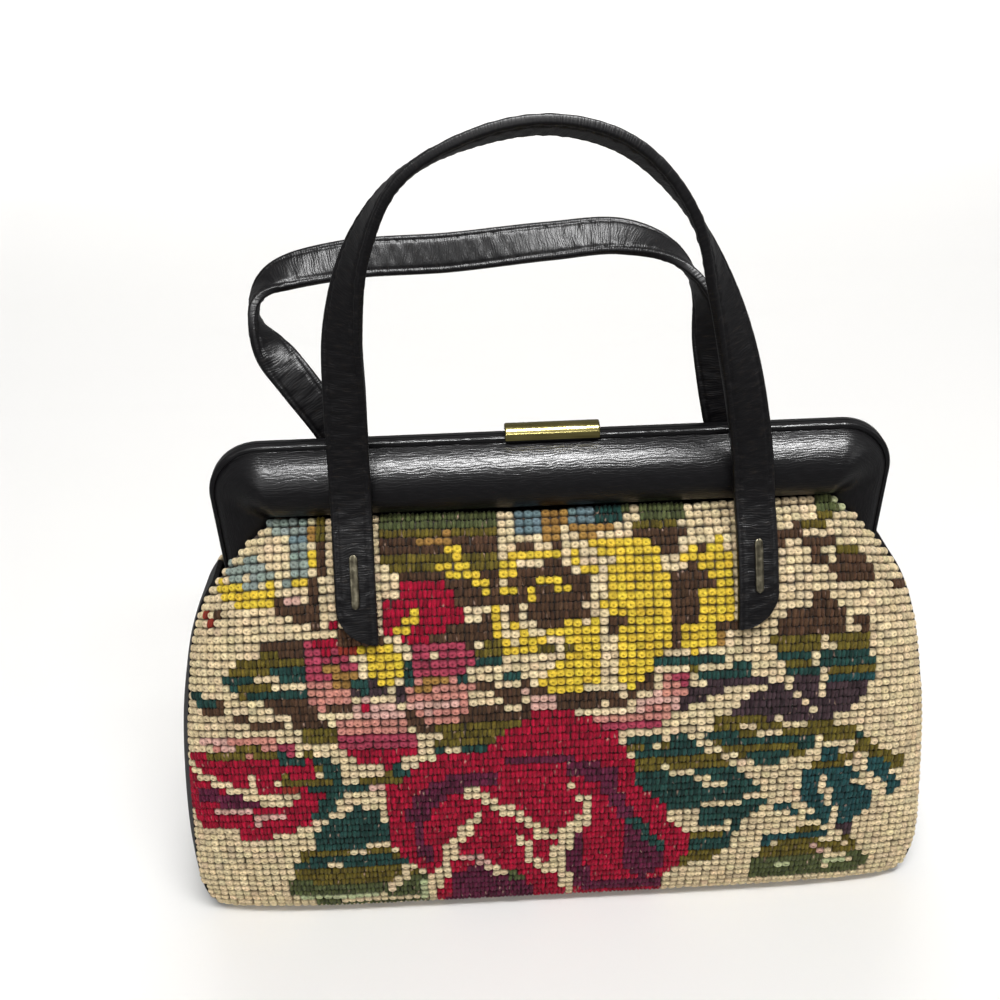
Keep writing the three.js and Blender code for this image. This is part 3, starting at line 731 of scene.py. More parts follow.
        ("sage", 0, [(108, 28), (119, 27), (118, 22), (108, 22)]),
        ("sage", 4, [(92, 26), (95, 26)]),
        ("moss", 5, [(122, 28), (128, 22)]),
        ("moss", 4, [(80, 19), (126, 19)]),
    ],
    "lowerLeftFlower": [
        ("pink", 0, [(-144, 97), (-130, 100), (-115, 102), (-101, 100), (-101, 94), (-115, 92), (-130, 92)]),
        ("blush", 3.6, [(-142, 96), (-128, 97)]),
        ("rose", 0, [(-110, 100), (-101, 100), (-101, 93), (-108, 93)]),
        ("crimson", 0, [(-149, 88), (-135, 92), (-120, 93), (-105, 93), (-93, 93), (-94, 86), (-98, 83),
                        (-100, 76), (-92, 75), (-94, 69), (-99, 66), (-101, 60), (-108, 57), (-118, 53),
                        (-129, 53), (-130, 57), (-148, 57), (-152, 66), (-152, 80)]),
        ("olive", 3.8, [(-139, 91), (-126, 94), (-119, 96)]),
        ("olive", 3.8, [(-117, 94), (-108, 93)]),
        ("pine", 4, [(-107, 93), (-102, 91)]),
        ("maroon", 0, [(-144, 77), (-128, 74), (-116, 70), (-128, 68), (-146, 70)]),
        ("ecru", 5, [(-150, 83), (-140, 80), (-128, 76), (-119, 74)]),
        ("ecru", 4, [(-122, 81), (-120, 82)]),
        ("ecru", 4, [(-111, 81), (-109, 80)]),
        ("rust", 0, [(-112, 81), (-103, 79), (-103, 75), (-110, 76)]),
        ("ecru", 4.5, [(-118, 71), (-110, 73), (-103, 74)]),
        ("blush", 3.8, [(-139, 64), (-125, 66)]),
        ("blush", 4.5, [(-122, 62), (-110, 65)]),
        ("olive", 3.8, [(-108, 83), (-96, 82), (-86, 83)]),
    ],
    "leftStems": [
        ("olive", 4, [(-98, 97), (-93, 90)]),
        ("pine", 5, [(-93, 93), (-89, 88), (-88, 84)]),
        ("ecru", 5, [(-98, 99), (-90, 95), (-84, 90)]),
        ("ecru", 0, [(-86, 91), (-79, 91), (-70, 89), (-70, 84), (-76, 79), (-84, 81)]),
        ("olive", 4, [(-76, 83), (-62, 84)]),
        ("pine", 4.5, [(-64, 87), (-58, 87)]),
        ("pine", 0, [(-102, 79), (-88, 81), (-78, 80), (-76, 77), (-84, 77), (-88, 72), (-93, 63), (-99, 62),
                     (-96, 70), (-92, 76)]),
        ("ecru", 0, [(-84, 76), (-71, 76), (-71, 63), (-74, 64), (-78, 69), (-88, 66), (-92, 63)]),
        ("ecru", 5, [(-51, 99), (-54, 92), (-60, 90)]),
        ("blush", 4, [(-72, 79), (-66, 78)]),
    ],
    "lowerLeftLeaf": [
        ("pine", 0, [(-87, 65), (-80, 69), (-74, 66), (-69, 58), (-69, 50), (-80, 47), (-90, 44), (-101, 49),
                     (-98, 55), (-94, 60)]),
        ("olive", 0, [(-105, 47), (-94, 47), (-82, 46), (-69, 47), (-63, 40), (-90, 40), (-107, 41)]),
        ("ecru", 4, [(-91, 42), (-84, 43), (-79, 47), (-69, 48)]),
        ("pine", 0, [(-109, 41), (-90, 42), (-68, 42), (-62, 38), (-66, 35), (-109, 36)]),
        ("ecru", 4, [(-93, 38), (-92, 37)]),
        ("olive", 0, [(-110, 36), (-66, 36), (-58, 33), (-66, 28), (-110, 28)]),
        ("moss", 0, [(-113, 28), (-68, 28), (-56, 29), (-54, 17), (-113, 19)]),
        ("sage", 4, [(-108, 19), (-76, 17)]),
        ("ecru", 4.5, [(-62, 35), (-65, 29), (-69, 24), (-74, 18)]),
        ("moss", 4, [(-100, 13), (-56, 12)]),
        ("sage", 4, [(-58, 24), (-56, 14)]),
    ],
    "crimsonRose": [
        ("crimson", 0, [(-12, 109), (0, 111), (8, 108), (20, 100), (22, 95), (26, 90), (29, 82), (28, 78),
                        (34, 70), (40, 64), (44, 54), (52, 46), (53, 37), (48, 28), (42, 20), (42, 6),
                        (-50, 6), (-52, 22), (-56, 30), (-60, 38), (-66, 44), (-69, 54), (-70, 66), (-70, 76),
                        (-66, 80), (-58, 86), (-52, 91), (-44, 95), (-36, 94), (-28, 96), (-22, 102)]),
        ("maroon", 9, [(-57, 64), (-55, 71), (-48, 76), (-38, 81), (-28, 81)]),
        ("maroon", 4.5, [(-20, 88), (0, 88), (14, 85)]),
        ("maroon", 0, [(2, 86), (18, 85), (25, 81), (22, 78), (17, 75), (8, 79), (2, 80)]),
        ("maroon", 5, [(-56, 64), (-57, 54), (-56, 44), (-53, 38)]),
        ("maroon", 6, [(18, 74), (23, 66), (27, 58), (28, 48)]),
        ("maroon", 0, [(27, 54), (33, 51), (42, 42), (42, 28), (34, 21), (27, 26), (26, 40)]),
        ("pine", 4, [(28, 57), (32, 51), (36, 45), (40, 40)]),
        ("maroon", 0, [(-45, 28), (-36, 33), (-28, 30), (-20, 26), (-12, 22), (-10, 6), (-50, 6), (-44, 20)]),
        ("maroon", 0, [(3, 47), (9, 50), (10, 44), (7, 36), (12, 28), (14, 16), (3, 16), (2, 36)]),
        ("maroon", 5, [(12, 16), (40, 16)]),
        ("crimson", 5, [(-11, 22), (-5, 26)]),
        ("ecru", 5.5, [(-35, 74), (-30, 71), (-26, 66), (-20, 63), (-14, 58), (-10, 52), (-5, 48)]),
        ("ecru", 5.5, [(-33, 62), (-36, 57), (-41, 51), (-45, 44), (-47, 36), (-50, 28), (-50, 23)]),
        ("ecru", 3.4, [(4, 74), (5, 73)]),
        ("ecru", 5, [(8, 70), (10, 64), (8, 58)]),
        ("ecru", 7, [(7, 57), (2, 50), (2, 44)]),
        ("ecru", 5, [(-1, 42), (-2, 34), (0, 28), (2, 22), (3, 12)]),
        ("ecru", 4.5, [(-17, 49), (-15, 44), (-13, 38), (-11, 33)]),
        ("ecru", 4, [(-6, 30), (-5, 28)]),
        ("blush", 4, [(-39, 38), (-34, 38), (-31, 34)]),
        ("ecru", 4.5, [(-29, 31), (-24, 29)]),
        ("moss", 4, [(-21, 27), (-16, 25)]),
        ("ecru", 4, [(-55, 27), (-52, 26)]),
    ],
}

needlepoint = {
    "crest": 0.05,  # how far the top of a loop stays under the panel's outer surface
    "pile": 1.8,
    "canvasDepth": 1.75,
    "canvasThickness": 1.2,
    "canvasRows": 60,
    "canvasColumns": 80,
    "edgeMargin": 1.3,
    "topMargin": 0.8,
    "sag": 0.6,  # how far a row drops for each millimetre that the panel rolls back
    "drift": 0.16,  # how far a stitch strays from its place
    "wave": 0.3,  # how far the rows sway up and down
    "waves": [(1.0, 31, 17), (0.6, 13, -29)],  # strength, lengths along the row and up the panel
    "tint": 0.018,
    "lotsRange": (0.6, 1.4),
    "mottleRange": (0.4, 1.7),
    "sizeSpread": 0.06,
    "sizeRange": (0.9, 1.1),
    "riseSpread": 0.07,
    "riseRange": (0.8, 1.02),
    "speck": "#c9a794",
    "speckShade": (0.3, 0.8),
    "seed": 11,
}


def insideOutline(u, v, outline):
    # even-odd rule: count the outline's edges that a line to the right of each stitch crosses
    corners = np.asarray(outline, float)
    ahead = np.roll(corners, -1, axis=0)
    rising = (corners[:, 1] > v[:, None]) != (ahead[:, 1] > v[:, None])
    climb = ahead[:, 1] - corners[:, 1]
    slope = (ahead[:, 0] - corners[:, 0]) / np.where(climb == 0, 1e-9, climb)
    crossing = corners[:, 0] + slope * (v[:, None] - corners[:, 1])
    return (rising & (u[:, None] < crossing)).sum(axis=1) % 2 == 1


def nearThread(u, v, line, width):
    # distance from each stitch to the nearest stretch of the line, against half its width
    ends = np.asarray(line, float)
    start, along = ends[:-1], np.diff(ends, axis=0)
    offset = np.stack([u, v], -1)[:, None, :] - start
    share = np.clip((offset * along).sum(-1) / np.maximum((along ** 2).sum(-1), 1e-9), 0, 1)
    gap = np.linalg.norm(offset - share[..., None] * along, axis=-1)
    return gap.min(axis=1) < width / 2


def chooseWools(u, v):
    # the first wool is the ground; each stitch takes the wool of the last shape that covers its centre
    names = list(wools)
    chosen = np.zeros(len(u), int)
    for motif in flowers.values():
        for name, width, line in motif:
            covered = nearThread(u, v, line, width) if width else insideOutline(u, v, line)
            chosen[covered] = names.index(name)
    return chosen


def stitchGrid(facing):
    # rows start a pitch apart up the panel's middle line and drop where the panel rolls back, as straight
    # threads of canvas do: height up the middle line plus sag times the roll-back is the same along a row.
    # Stitches sit a pitch apart along each row; f is the sine of an angle, which spreads them to the seam.
    t = np.linspace(0, lastSection, 2000)
    climb = runLength(panelPoint(t, np.zeros_like(t), facing))
    swell = throughRows(body["sections"], t)[:, 3]
    angle = np.linspace(0, np.pi / 2, 500)
    f = np.sin(angle)
    drop = needlepoint["sag"] * (1 - np.sqrt(1 - f ** body["rollPower"]))
    margin = needlepoint["edgeMargin"]
    rows = np.arange(climb[-1] - needlepoint["topMargin"], margin, -stitchPitch)
    levels = np.stack([np.interp(rows, climb + swell * each, t) for each in drop], axis=1)
    places = []
    for level in levels:
        run = runLength(panelPoint(level, f, facing))
        count = int((run[-1] - margin) / stitchPitch)
        u = np.arange(-count, count + 1) * stitchPitch
        turn = np.interp(np.abs(u), run, angle)
        slope = np.interp(turn, angle, np.gradient(level, angle))
        side = np.sign(u)
        places.append(np.column_stack([u, np.interp(turn, angle, level), side * turn, side * slope]))
    u, level, turn, slope = np.concatenate(places).T
    v = np.interp(level, t, climb)
    return np.stack([u, v, level, turn, slope])[:, v > margin]


def stitchFrame(level, angle, slope, facing):
    # place, tangents along the row and up the panel, and outward normal of each stitch
    step = 1e-3
    share = np.sin(angle)
    centre = panelPoint(level, share, facing)
    ahead = panelPoint(level + slope * step, np.sin(angle + step), facing)
    behind = panelPoint(level - slope * step, np.sin(angle - step), facing)
    across = unit(ahead - behind)
    up = panelPoint(level + step, share, facing) - panelPoint(level - step, share, facing)
    up = unit(up - (up * across).sum(1, keepdims=True) * across)
    out = np.cross(across, up) * -facing
    out *= np.sign(facing * out[:, 1:2] + 1e-9)
    return centre, np.stack([across, up, out], axis=1)


stitchShapes = {
    "loop": {
        # rings from the canvas up: half width, half height, rise, painted shade, roundness; the shade darkens
        # the foot as painted shadow in the gaps between stitches and lights the crown as a painted highlight
        "rings": [
            (2.02, 1.95, 0.0, 0.26, 0.45),
            (1.86, 1.55, 0.75, 0.52, 0.9),
            (1.46, 1.14, 1.5, 0.98, 1.0),
            (0.8, 0.58, 1.8, 1.1, 1.0),
        ],
        # the middle's shade is a painted shadow in the loop's hole
        "middle": (0.95, 0.36),  # rise and shade
        "offset": (0.2, 0.1),
        "sides": 8,
        "beside": [0.0],
        "lean": (-0.3, 0.25),  # turn of the crown: mean and spread
        "lots": 0.1,  # spread of the dye from stitch to stitch
        "mottle": 0.1,  # spread of the shade within a stitch
        "specks": 0.0,
    },
    "strand": {
        # same columns; the shade is painted: darker at the foot, a painted highlight along the strand's top
        "rings": [
            (1.02, 1.98, 0.3, 0.6, 0.5),
            (0.92, 1.86, 1.15, 0.84, 0.8),
            (0.48, 1.25, 1.7, 1.06, 1.0),
        ],
        "middle": (1.8, 1.15),
        "offset": (0.0, 0.0),
        "sides": 6,
        "beside": [-0.84, 0.84],
        "lean": (-0.14, 0.14),
        "lots": 0.2,
        "mottle": 0.16,
        "specks": 0.1,  # share of the strands with pale canvas showing
    },
}


def stitchMesh(name, shape, centre, axes, wave, dye):
    # rings of points round each stitch, carried to the panel by the stitch's own tangents and normal
    rng = np.random.default_rng(needlepoint["seed"])
    copies = len(shape["beside"])
    beside = np.tile(shape["beside"], len(centre))
    centre, axes, wave, dye = (np.repeat(each, copies, axis=0) for each in (centre, axes, wave, dye))
    count, sides, rings = len(centre), shape["sides"], len(shape["rings"])
    lots = rng.normal(1, shape["lots"], (count, 1)).clip(*needlepoint["lotsRange"])
    dye = dye * lots * rng.normal(1, needlepoint["tint"], (count, 3))
    angle = 2 * np.pi * (np.arange(sides) + 0.5) / sides
    lean = rng.normal(*shape["lean"], (count, 1))
    size = rng.normal(1, needlepoint["sizeSpread"], (count, 1)).clip(*needlepoint["sizeRange"])
    rise = rng.normal(1, needlepoint["riseSpread"], (count, 1)).clip(*needlepoint["riseRange"])
    drift = rng.normal(0, needlepoint["drift"], (count, 2)) + np.column_stack([beside, wave])
    foot = needlepoint["crest"] + needlepoint["pile"]
    places, paintedShades = [], []
    for k, (halfWidth, halfHeight, height, shade, roundness) in enumerate(shape["rings"]):
        x, y = superellipse(angle, roundness)
        a = halfWidth * x * size
        b = halfHeight * y * size
        turned = lean * k / rings
        x = a * np.cos(turned) - b * np.sin(turned) + drift[:, :1]
        y = a * np.sin(turned) + b * np.cos(turned) + drift[:, 1:]
        places.append(np.stack([x, y, (height * rise - foot) * np.ones_like(x)], -1))
        paintedShades.append(np.full(x.shape, shade))
    height, shade = shape["middle"]
    places.append(np.column_stack([drift - shape["offset"], height * rise - foot])[:, None])
    paintedShades.append(np.full((count, 1), shade))
    places = np.concatenate(places, axis=1)
    points = (centre[:, None] + np.einsum("npk,nkj->npj", places, axes)).reshape(-1, 3)
    paintedShades = np.concatenate(paintedShades, axis=1)
    paintedShades = paintedShades * rng.normal(1, shape["mottle"], paintedShades.shape).clip(*needlepoint["mottleRange"])
    # each point's colour is its dye times the painted shade of its ring: painted shadow at the foot and in
    # the hole, painted highlight at the crown
    colour = np.ones(paintedShades.shape + (4,), np.float32)
    colour[..., :3] = dye[:, None] * paintedShades[..., None]
    speck = np.flatnonzero(rng.random(count) < shape["specks"])
    spot = rng.integers(sides, rings * sides, len(speck))
    pale = np.array(linear(needlepoint["speck"])[:3])
    colour[speck, spot, :3] = pale * rng.uniform(*needlepoint["speckShade"], (len(speck), 1))
    ring = np.arange(sides)
    ahead = (ring + 1) % sides
    wall = np.column_stack([ring, ahead, ahead + sides, ring + sides])
    quads = np.concatenate([wall + k * sides for k in range(rings - 1)])
    top = (rings - 1) * sides
    crown = np.column_stack([ring + top, ahead + top, np.full(sides, rings * sides)])
    first = np.arange(count)[:, None, None] * (rings * sides + 1)
    faceLists = [(first + faces).reshape(-1, faces.shape[1])
                 for faces in (quads, crown, ring[None, ::-1])]
    piece = makeMesh(name, points, outward(points, faceLists), wool, sharpAngle=None)
    attribute = piece.data.color_attributes.new("wool", "FLOAT_COLOR", "POINT")
    attribute.data.foreach_set("color", colour.ravel())
    print(name, count, "loops or strands", len(piece.data.polygons), "faces")
    return piece


def stitchMeshes(facing, side):
    # one mesh each for the ground's loops, the flowers' loops and the tight strands of leaves and petals
    u, v, level, angle, slope = stitchGrid(facing)
    centre, axes = stitchFrame(level, angle, slope, facing)
    yarn = chooseWools(-facing * u, v)
    dye = np.array([linear(tone)[:3] for tone, _ in wools.values()])[yarn]
    loose = np.array([kind == "loop" for _, kind in wools.values()])[yarn]
    wave = needlepoint["wave"] * sum(
        strength * np.sin(u / along + v / up) for strength, along, up in needlepoint["waves"])
    ground = yarn == 0
    sorts = [
        ("ground", "loop", ground),
        ("petals", "loop", loose & ~ground),
        ("leaves", "strand", ~loose),
    ]
    return [stitchMesh(name + "_" + side, stitchShapes[kind], centre[chosen], axes[chosen], wave[chosen],
                       dye[chosen]) for name, kind, chosen in sorts]


def buildPanel(facing, side):
    # canvas: the panel's own surface drawn in by its depth, a thin wall
    rows, columns = needlepoint["canvasRows"], needlepoint["canvasColumns"]
    t = np.linspace(0, lastSection, rows)[:, None] * np.ones((1, columns))
    f = np.sin(np.linspace(-np.pi / 2, np.pi / 2, columns))[None] * np.ones((rows, 1))
    skin = panelPoint(t, f, facing)
    normal = surfaceNormals(skin)
    normal *= np.sign(normal[rows // 2, columns // 2, 1] * facing)
    outer = skin - normal * needlepoint["canvasDepth"]
    inner = outer - normal * needlepoint["canvasThickness"]
    cloth = wallMesh("canvas_" + side, outer, inner, canvas, skin[..., [0, 2]])
    stitches = stitchMeshes(facing, side)
    place(cloth, [side + "_panel"], "needlepoint")
    for piece in stitches:
        place(piece, [], "needlepoint")


def buildGusset():
    # a strip down one side, across the base and up the other; it swells sideways as 1 - v squared
    levels = np.linspace(0, lastSection, 1500)
    heights = throughRows(body["sections"], levels)[:, 0]
    top = np.interp(body["gussetTop"], heights, levels)
    climb = throughRows(body["sections"], np.linspace(0, top, body["gussetRows"]))
    z, half, seam, _, swell = climb.T
    half = np.maximum(half, body["gussetHalf"])
    base = np.linspace(-1, 1, body["baseRows"])[1:-1] * half[0]
    x = np.concatenate([-half[::-1], base, half])
    flatRow = np.zeros_like(base)
    zs = np.concatenate([z[::-1], flatRow, z])
    depth = np.concatenate([seam[::-1], flatRow + seam[0], seam]) - body["seamGap"]
    push = np.concatenate([-swell[::-1], flatRow, swell])
    v = np.linspace(-1, 1, body["gussetColumns"])
    outer = np.stack([
        x[:, None] + push[:, None] * (1 - v ** 2),
        depth[:, None] * v,
        zs[:, None] * np.ones_like(v),
    ], -1)
    normal = surfaceNormals(outer)
    normal *= np.sign(-normal[len(x) // 2, len(v) // 2, 2])
    inner = outer - normal * body["gussetThickness"]
    run = runLength(outer[:, len(v) // 2])
    lay = np.stack([run[:, None] * np.ones_like(v), depth[:, None] * v], -1)
    strip = wallMesh("gusset_leather", outer, inner, sideLeather, lay)
    place(strip, ["gusset"], "leather")


buildPanel(-1, "front")
buildPanel(1, "back")
buildGusset()
print("body built")


# Frame: two padded leather arches

arch = {
    "width": 128.5, "top": 201.0, "cornerRadius": 20.0,
    "mouthHalf": 106.0, "mouthTop": 174.8, "mouthRadius": 4.0,
    "foot": 132.0, "footInset": 1.5, "legSwell": 0.34,
    "rimDepth": 3.2, "parting": 0.25,
    # share of the way from rim to mouth, depth from the parting plane
    "band": [
        (0, 2.2), (0.02, 3), (0.07, 3.2), (0.09, 2.9), (0.13, 5.6), (0.22, 9.6),
        (0.38, 13.2), (0.58, 14.8), (0.78, 14.2), (0.93, 12), (1, 9.6),
    ],
    "topSteps": 60, "cornerSteps": 30, "legSteps": 20, "acrossSteps": 56,
}


def archStations():
    # right half: straight along the top, round the corner, down the leg; the left half is its mirror
    share = np.linspace(0, 1, arch["topSteps"], endpoint=False)
    one = np.ones_like(share)
    radius, mouthRadius = arch["cornerRadius"], arch["mouthRadius"]
    topRun = np.column_stack([
        (arch["width"] - radius) * share, arch["top"] * one,
        (arch["mouthHalf"] - mouthRadius) * share, arch["mouthTop"] * one, one])
    share = np.linspace(0, 1, arch["cornerSteps"], endpoint=False)
    angle = np.pi / 2 * (1 - share)
    ease = share * share * (3 - 2 * share)
    corner = np.column_stack([
        arch["width"] - radius + radius * np.cos(angle), arch["top"] - radius + radius * np.sin(angle),
        arch["mouthHalf"] - mouthRadius + mouthRadius * np.cos(angle),
        arch["mouthTop"] - mouthRadius + mouthRadius * np.sin(angle), 1 + (arch["legSwell"] - 1) * ease])
    share = np.linspace(0, 1, arch["legSteps"])
    outerStart, mouthStart = arch["top"] - radius, arch["mouthTop"] - mouthRadius
    leg = np.column_stack([
        arch["width"] - arch["footInset"] * share, outerStart + (arch["foot"] - outerStart) * share,
        arch["mouthHalf"] + 0 * share, mouthStart + (arch["foot"] - mouthStart) * share,
        arch["legSwell"] + 0 * share])
    right = np.concatenate([topRun, corner, leg])
    left = right[:0:-1] * [-1, 1, -1, 1, 1]
    return np.concatenate([left, right])


def buildArch(facing, side):
    # straight lines from rim to mouth at each station; depth beyond the rim's is scaled by the swell there
    stations = archStations()
    rows = np.linspace(0, len(arch["band"]) - 1, arch["acrossSteps"])
    across, depth = throughRows(arch["band"], rows).T
    across = np.clip(across, 0, 1)
    outerLine, mouthLine, swell = stations[:, :2], stations[:, 2:4], stations[:, 4]
    flat = outerLine[:, None] + (mouthLine - outerLine)[:, None] * across[:, None]
    lift = np.maximum(depth - arch["rimDepth"], 0)
    deep = np.minimum(depth, arch["rimDepth"]) + lift * swell[:, None]
    skin = np.stack([flat[..., 0], facing * deep, flat[..., 1]], -1)
    inner = np.stack([flat[..., 0], np.full_like(deep, facing * arch["parting"]), flat[..., 1]], -1)
    run = runLength(skin[:, len(rows) // 2])
    girth = runLength(skin[len(stations) // 2])
    lay = np.stack([run[:, None] * np.ones_like(girth), girth * np.ones_like(run)[:, None]], -1)
    band = wallMesh("frame_" + side + "_leather", skin, inner, frameLeather, lay)
    place(band, ["frame_" + side], "leather")


buildArch(-1, "front")
buildArch(1, "back")
print("frame built")


# Handles: padded straps with a tab at each end

handle = {
    "width": 15.0, "thickness": 4.0, "roundness": 0.42, "roundedEnd": 20.0, "stations": 400, "around": 56,
    "crease": 5.35, "creaseDepth": 0.42, "creaseWidth": 0.5,
    "ripple": 0.07, "ripples": 9, "rippleLengths": (3.0, 11.0), "rippleSkew": 0.9, "seed": 5,
    # the strap's middle and its outer face's normal, from the left tab to the right
    "front": [
        (-74.5, -38.6, 136, 0, -0.9, 0.42), (-74.5, -32.8, 152, 0, -0.9, 0.42),
        (-74.5, -25.8, 167, 0, -0.92, 0.4), (-74.4, -19.6, 181, 0, -0.97, 0.25),
        (-74, -17.5, 196, 0, -1, 0.05), (-73, -17.6, 225, -0.15, -1, 0),
        (-71.2, -18, 252, -0.5, -0.8, 0.1), (-64, -18.5, 279, -0.85, -0.45, 0.3),
        (-49, -18.5, 301, -0.7, 0.1, 0.7), (-23.5, -18.5, 313, -0.3, 0.4, 0.87),
        (0, -18.5, 315.5, 0.02, 0.45, 0.9), (22.7, -18.5, 308.3, 0.42, 0.4, 0.82),
        (42, -18.5, 289, 0.8, 0.1, 0.55), (55, -18.3, 260.4, 0.75, -0.6, 0.25),
        (64, -17.8, 231, 0.35, -0.95, 0.1), (70.5, -17.5, 200, 0.08, -1, 0.05),
        (72.6, -19.9, 180.5, 0, -0.97, 0.25), (73.4, -26.2, 166, 0, -0.92, 0.4),
        (73.6, -33, 151.5, 0, -0.9, 0.42), (73.6, -38.8, 135.5, 0, -0.9, 0.42),
    ],
    "back": [
        (-74.5, 38.6, 136, 0, 0.9, 0.42), (-74.5, 32.8, 152, 0, 0.9, 0.42),
        (-74.7, 25.8, 167, 0, 0.92, 0.4), (-77, 19.6, 181, 0, 0.97, 0.25),
        (-82, 17.7, 196, -0.05, 1, 0.05), (-94.5, 21.5, 215, -0.3, 0.9, 0.1),
        (-104.5, 28, 228, -0.75, 0.6, 0.15), (-109.5, 35.5, 239.5, -0.95, 0, 0.3),
        (-103, 42.5, 248, -0.6, -0.5, 0.65), (-77, 46.5, 253.5, -0.15, -0.8, 0.55),
        (-35, 48.5, 254.5, 0, -0.88, 0.47), (3, 48.5, 257.5, 0, -0.78, 0.62),
        (30, 45, 259.5, 0.1, -0.65, 0.75), (48, 36.5, 255, 0.5, -0.25, 0.75),
        (58, 26, 243.5, 0.85, 0.35, 0.35), (62, 19.5, 223, 0.55, 0.85, 0.1),
        (67, 17.7, 198, 0.1, 1, 0.05), (71.5, 19.9, 180.5, 0, 0.97, 0.25),
        (73.6, 26.2, 166, 0, 0.92, 0.4), (74, 33, 151.5, 0, 0.9, 0.42),
        (74, 38.8, 135.5, 0, 0.9, 0.42),
    ],
}


def centripetalCurve(points, t):
    # Catmull-Rom curve whose knots are spaced by the root of the distance between its points
    wide, i, w, (before, start, end, after) = curveStretch(points, t)
    knot = np.sqrt(np.linalg.norm(np.diff(wide, axis=0), axis=1))
    first, second, third = (knot[i + k][..., None] for k in range(3))
    leave = ((start - before) / first - (end - before) / (first + second) + (end - start) / second) * second
    arrive = ((end - start) / second - (after - start) / (second + third) + (after - end) / third) * second
    square = -3 * start + 3 * end - 2 * leave - arrive
    cube = 2 * start - 2 * end + leave + arrive
    return start + leave * w + square * w ** 2 + cube * w ** 3


def measureStrap(table):
    # a handle's table, with the distance run along its middle line at many places
    rows = np.asarray(table, float)
    t = np.linspace(0, len(rows) - 1, 6000)
    return {"rows": rows, "t": t, "run": runLength(centripetalCurve(rows[:, :3], t))}


def strapFrame(line, distance):
    # middle of the strap at each distance, and its directions along, outward and across
    middles, normals, last = line["rows"][:, :3], line["rows"][:, 3:], line["t"][-1]
    t = np.interp(distance, line["run"], line["t"])
    step = 1e-3
    ahead = centripetalCurve(middles, np.clip(t + step, 0, last))
    behind = centripetalCurve(middles, np.clip(t - step, 0, last))
    along = unit(ahead - behind)
    out = throughRows(normals, t)
    out = unit(out - (out * along).sum(-1, keepdims=True) * along)
    return centripetalCurve(middles, t), along, out, np.cross(along, out)


staple = {
    "alongTab": 24.0, "length": 20.0, "width": 3.0, "thickness": 1.3, "roundness": 0.6,
    "endSteps": 8, "around": 24, "endWidth": 0.12, "endHeight": 0.3,  # shares left at the very ends
    "seat": 1.55, "groove": 0.35, "grooveWidth": 0.42,
    # the channel that the bar presses into the strap
    "channelDepth": 0.55, "channelHalf": 2.2, "channelEnds": 1.2,
}


def buildHandle(side, outerEdge):
    # section: a superellipse, pressed in along two crease lines; ends trimmed round at one corner
    line = measureStrap(handle[side])
    length = line["run"][-1]
    rng = np.random.default_rng(handle["seed"])
    half = handle["width"] / 2
    x, y = superellipse(roundAngles(handle["around"]), handle["roundness"])
    x = half * x
    y = handle["thickness"] / 2 * y
    press = handle["creaseDepth"] * np.exp(-((np.abs(x) - handle["crease"]) / handle["creaseWidth"]) ** 2)
    y = y - np.sign(y) * press
    plain = np.linspace(0, length, handle["stations"])[:, None]
    reach = handle["width"] * (1 + outerEdge * x / half) / 2
    cut = handle["width"] - np.sqrt(np.clip(handle["width"] ** 2 - reach ** 2, 0, None))
    fromEnd = np.minimum(plain, length - plain)
    trim = cut * np.clip(1 - fromEnd / handle["roundedEnd"], 0, 1)
    distance = np.where(plain < length / 2, plain + trim, plain - trim)
    # cross wrinkles: short waves along the strap, skewed a little across it
    count = handle["ripples"]
    waves = rng.uniform(*handle["rippleLengths"], count)
    phases = rng.uniform(0, 2 * np.pi, count)
    skews = rng.normal(0, handle["rippleSkew"], count)
    ripple = sum(np.sin(2 * np.pi * (distance + skew * x) / wave + phase)
                 for wave, phase, skew in zip(waves, phases, skews))
    flatness = 1 - np.abs(x / half) ** 4
    # pressed channel under each staple, on the outer face
    fromStaple = np.abs(fromEnd - staple["alongTab"]) / (staple["length"] / 2 + staple["channelEnds"])
    channel = np.exp(-(x / staple["channelHalf"]) ** 6) * np.exp(-fromStaple ** 8) * (y > 0)
    thick = y + np.sign(y) * handle["ripple"] * ripple * flatness - staple["channelDepth"] * channel
    middle, _, out, across = strapFrame(line, distance)
    sections = middle + across * x[None, :, None] + out * thick[..., None]
    lay = np.stack([distance, x * np.ones_like(distance)], -1)
    strap = tubeMesh("handle_" + side + "_leather", sections, strapLeather, sharpAngle=0.9, lay=lay)
    place(strap, ["handle_" + side], "leather")
    for end, name in ((staple["alongTab"], "left"), (length - staple["alongTab"], "right")):
        buildStaple(line, end, side, name)


def buildStaple(line, distance, side, name):
    # a bar with round ends, its section a superellipse with a shallow groove down the middle
    half = staple["length"] / 2
    radius = staple["width"] / 2
    bend = np.linspace(0, np.pi / 2, staple["endSteps"])
    ends = half - radius + radius * np.sin(bend)
    along = np.concatenate([-ends[::-1], ends])
    narrow = np.concatenate([np.cos(bend)[::-1], np.cos(bend)]).clip(staple["endWidth"])
    low = np.sqrt(narrow.clip(staple["endHeight"], 1))
    x, y = superellipse(roundAngles(staple["around"]), staple["roundness"])
    groove = staple["groove"] * np.exp(-(x / staple["grooveWidth"]) ** 2) * (y > 0)
    height = staple["thickness"] / 2 * y - groove
    middle, forward, out, across = strapFrame(line, np.array(distance))
    sections = (middle + out * (staple["seat"] + staple["thickness"] / 2)
                + forward * along[:, None, None]
                + across * (radius * narrow[:, None] * x)[..., None]
                + out * (low[:, None] * height)[..., None])
    bar = tubeMesh("staple_" + side + "_" + name + "_bar", sections, nickel, sharpAngle=1.1)
    place(bar, ["staple_" + side + "_" + name], "steel")


buildHandle("front", -1)
buildHandle("back", 1)
print("handles built")


# Clasp: a half-round brass bar that lifts on a hinge pin behind the rim

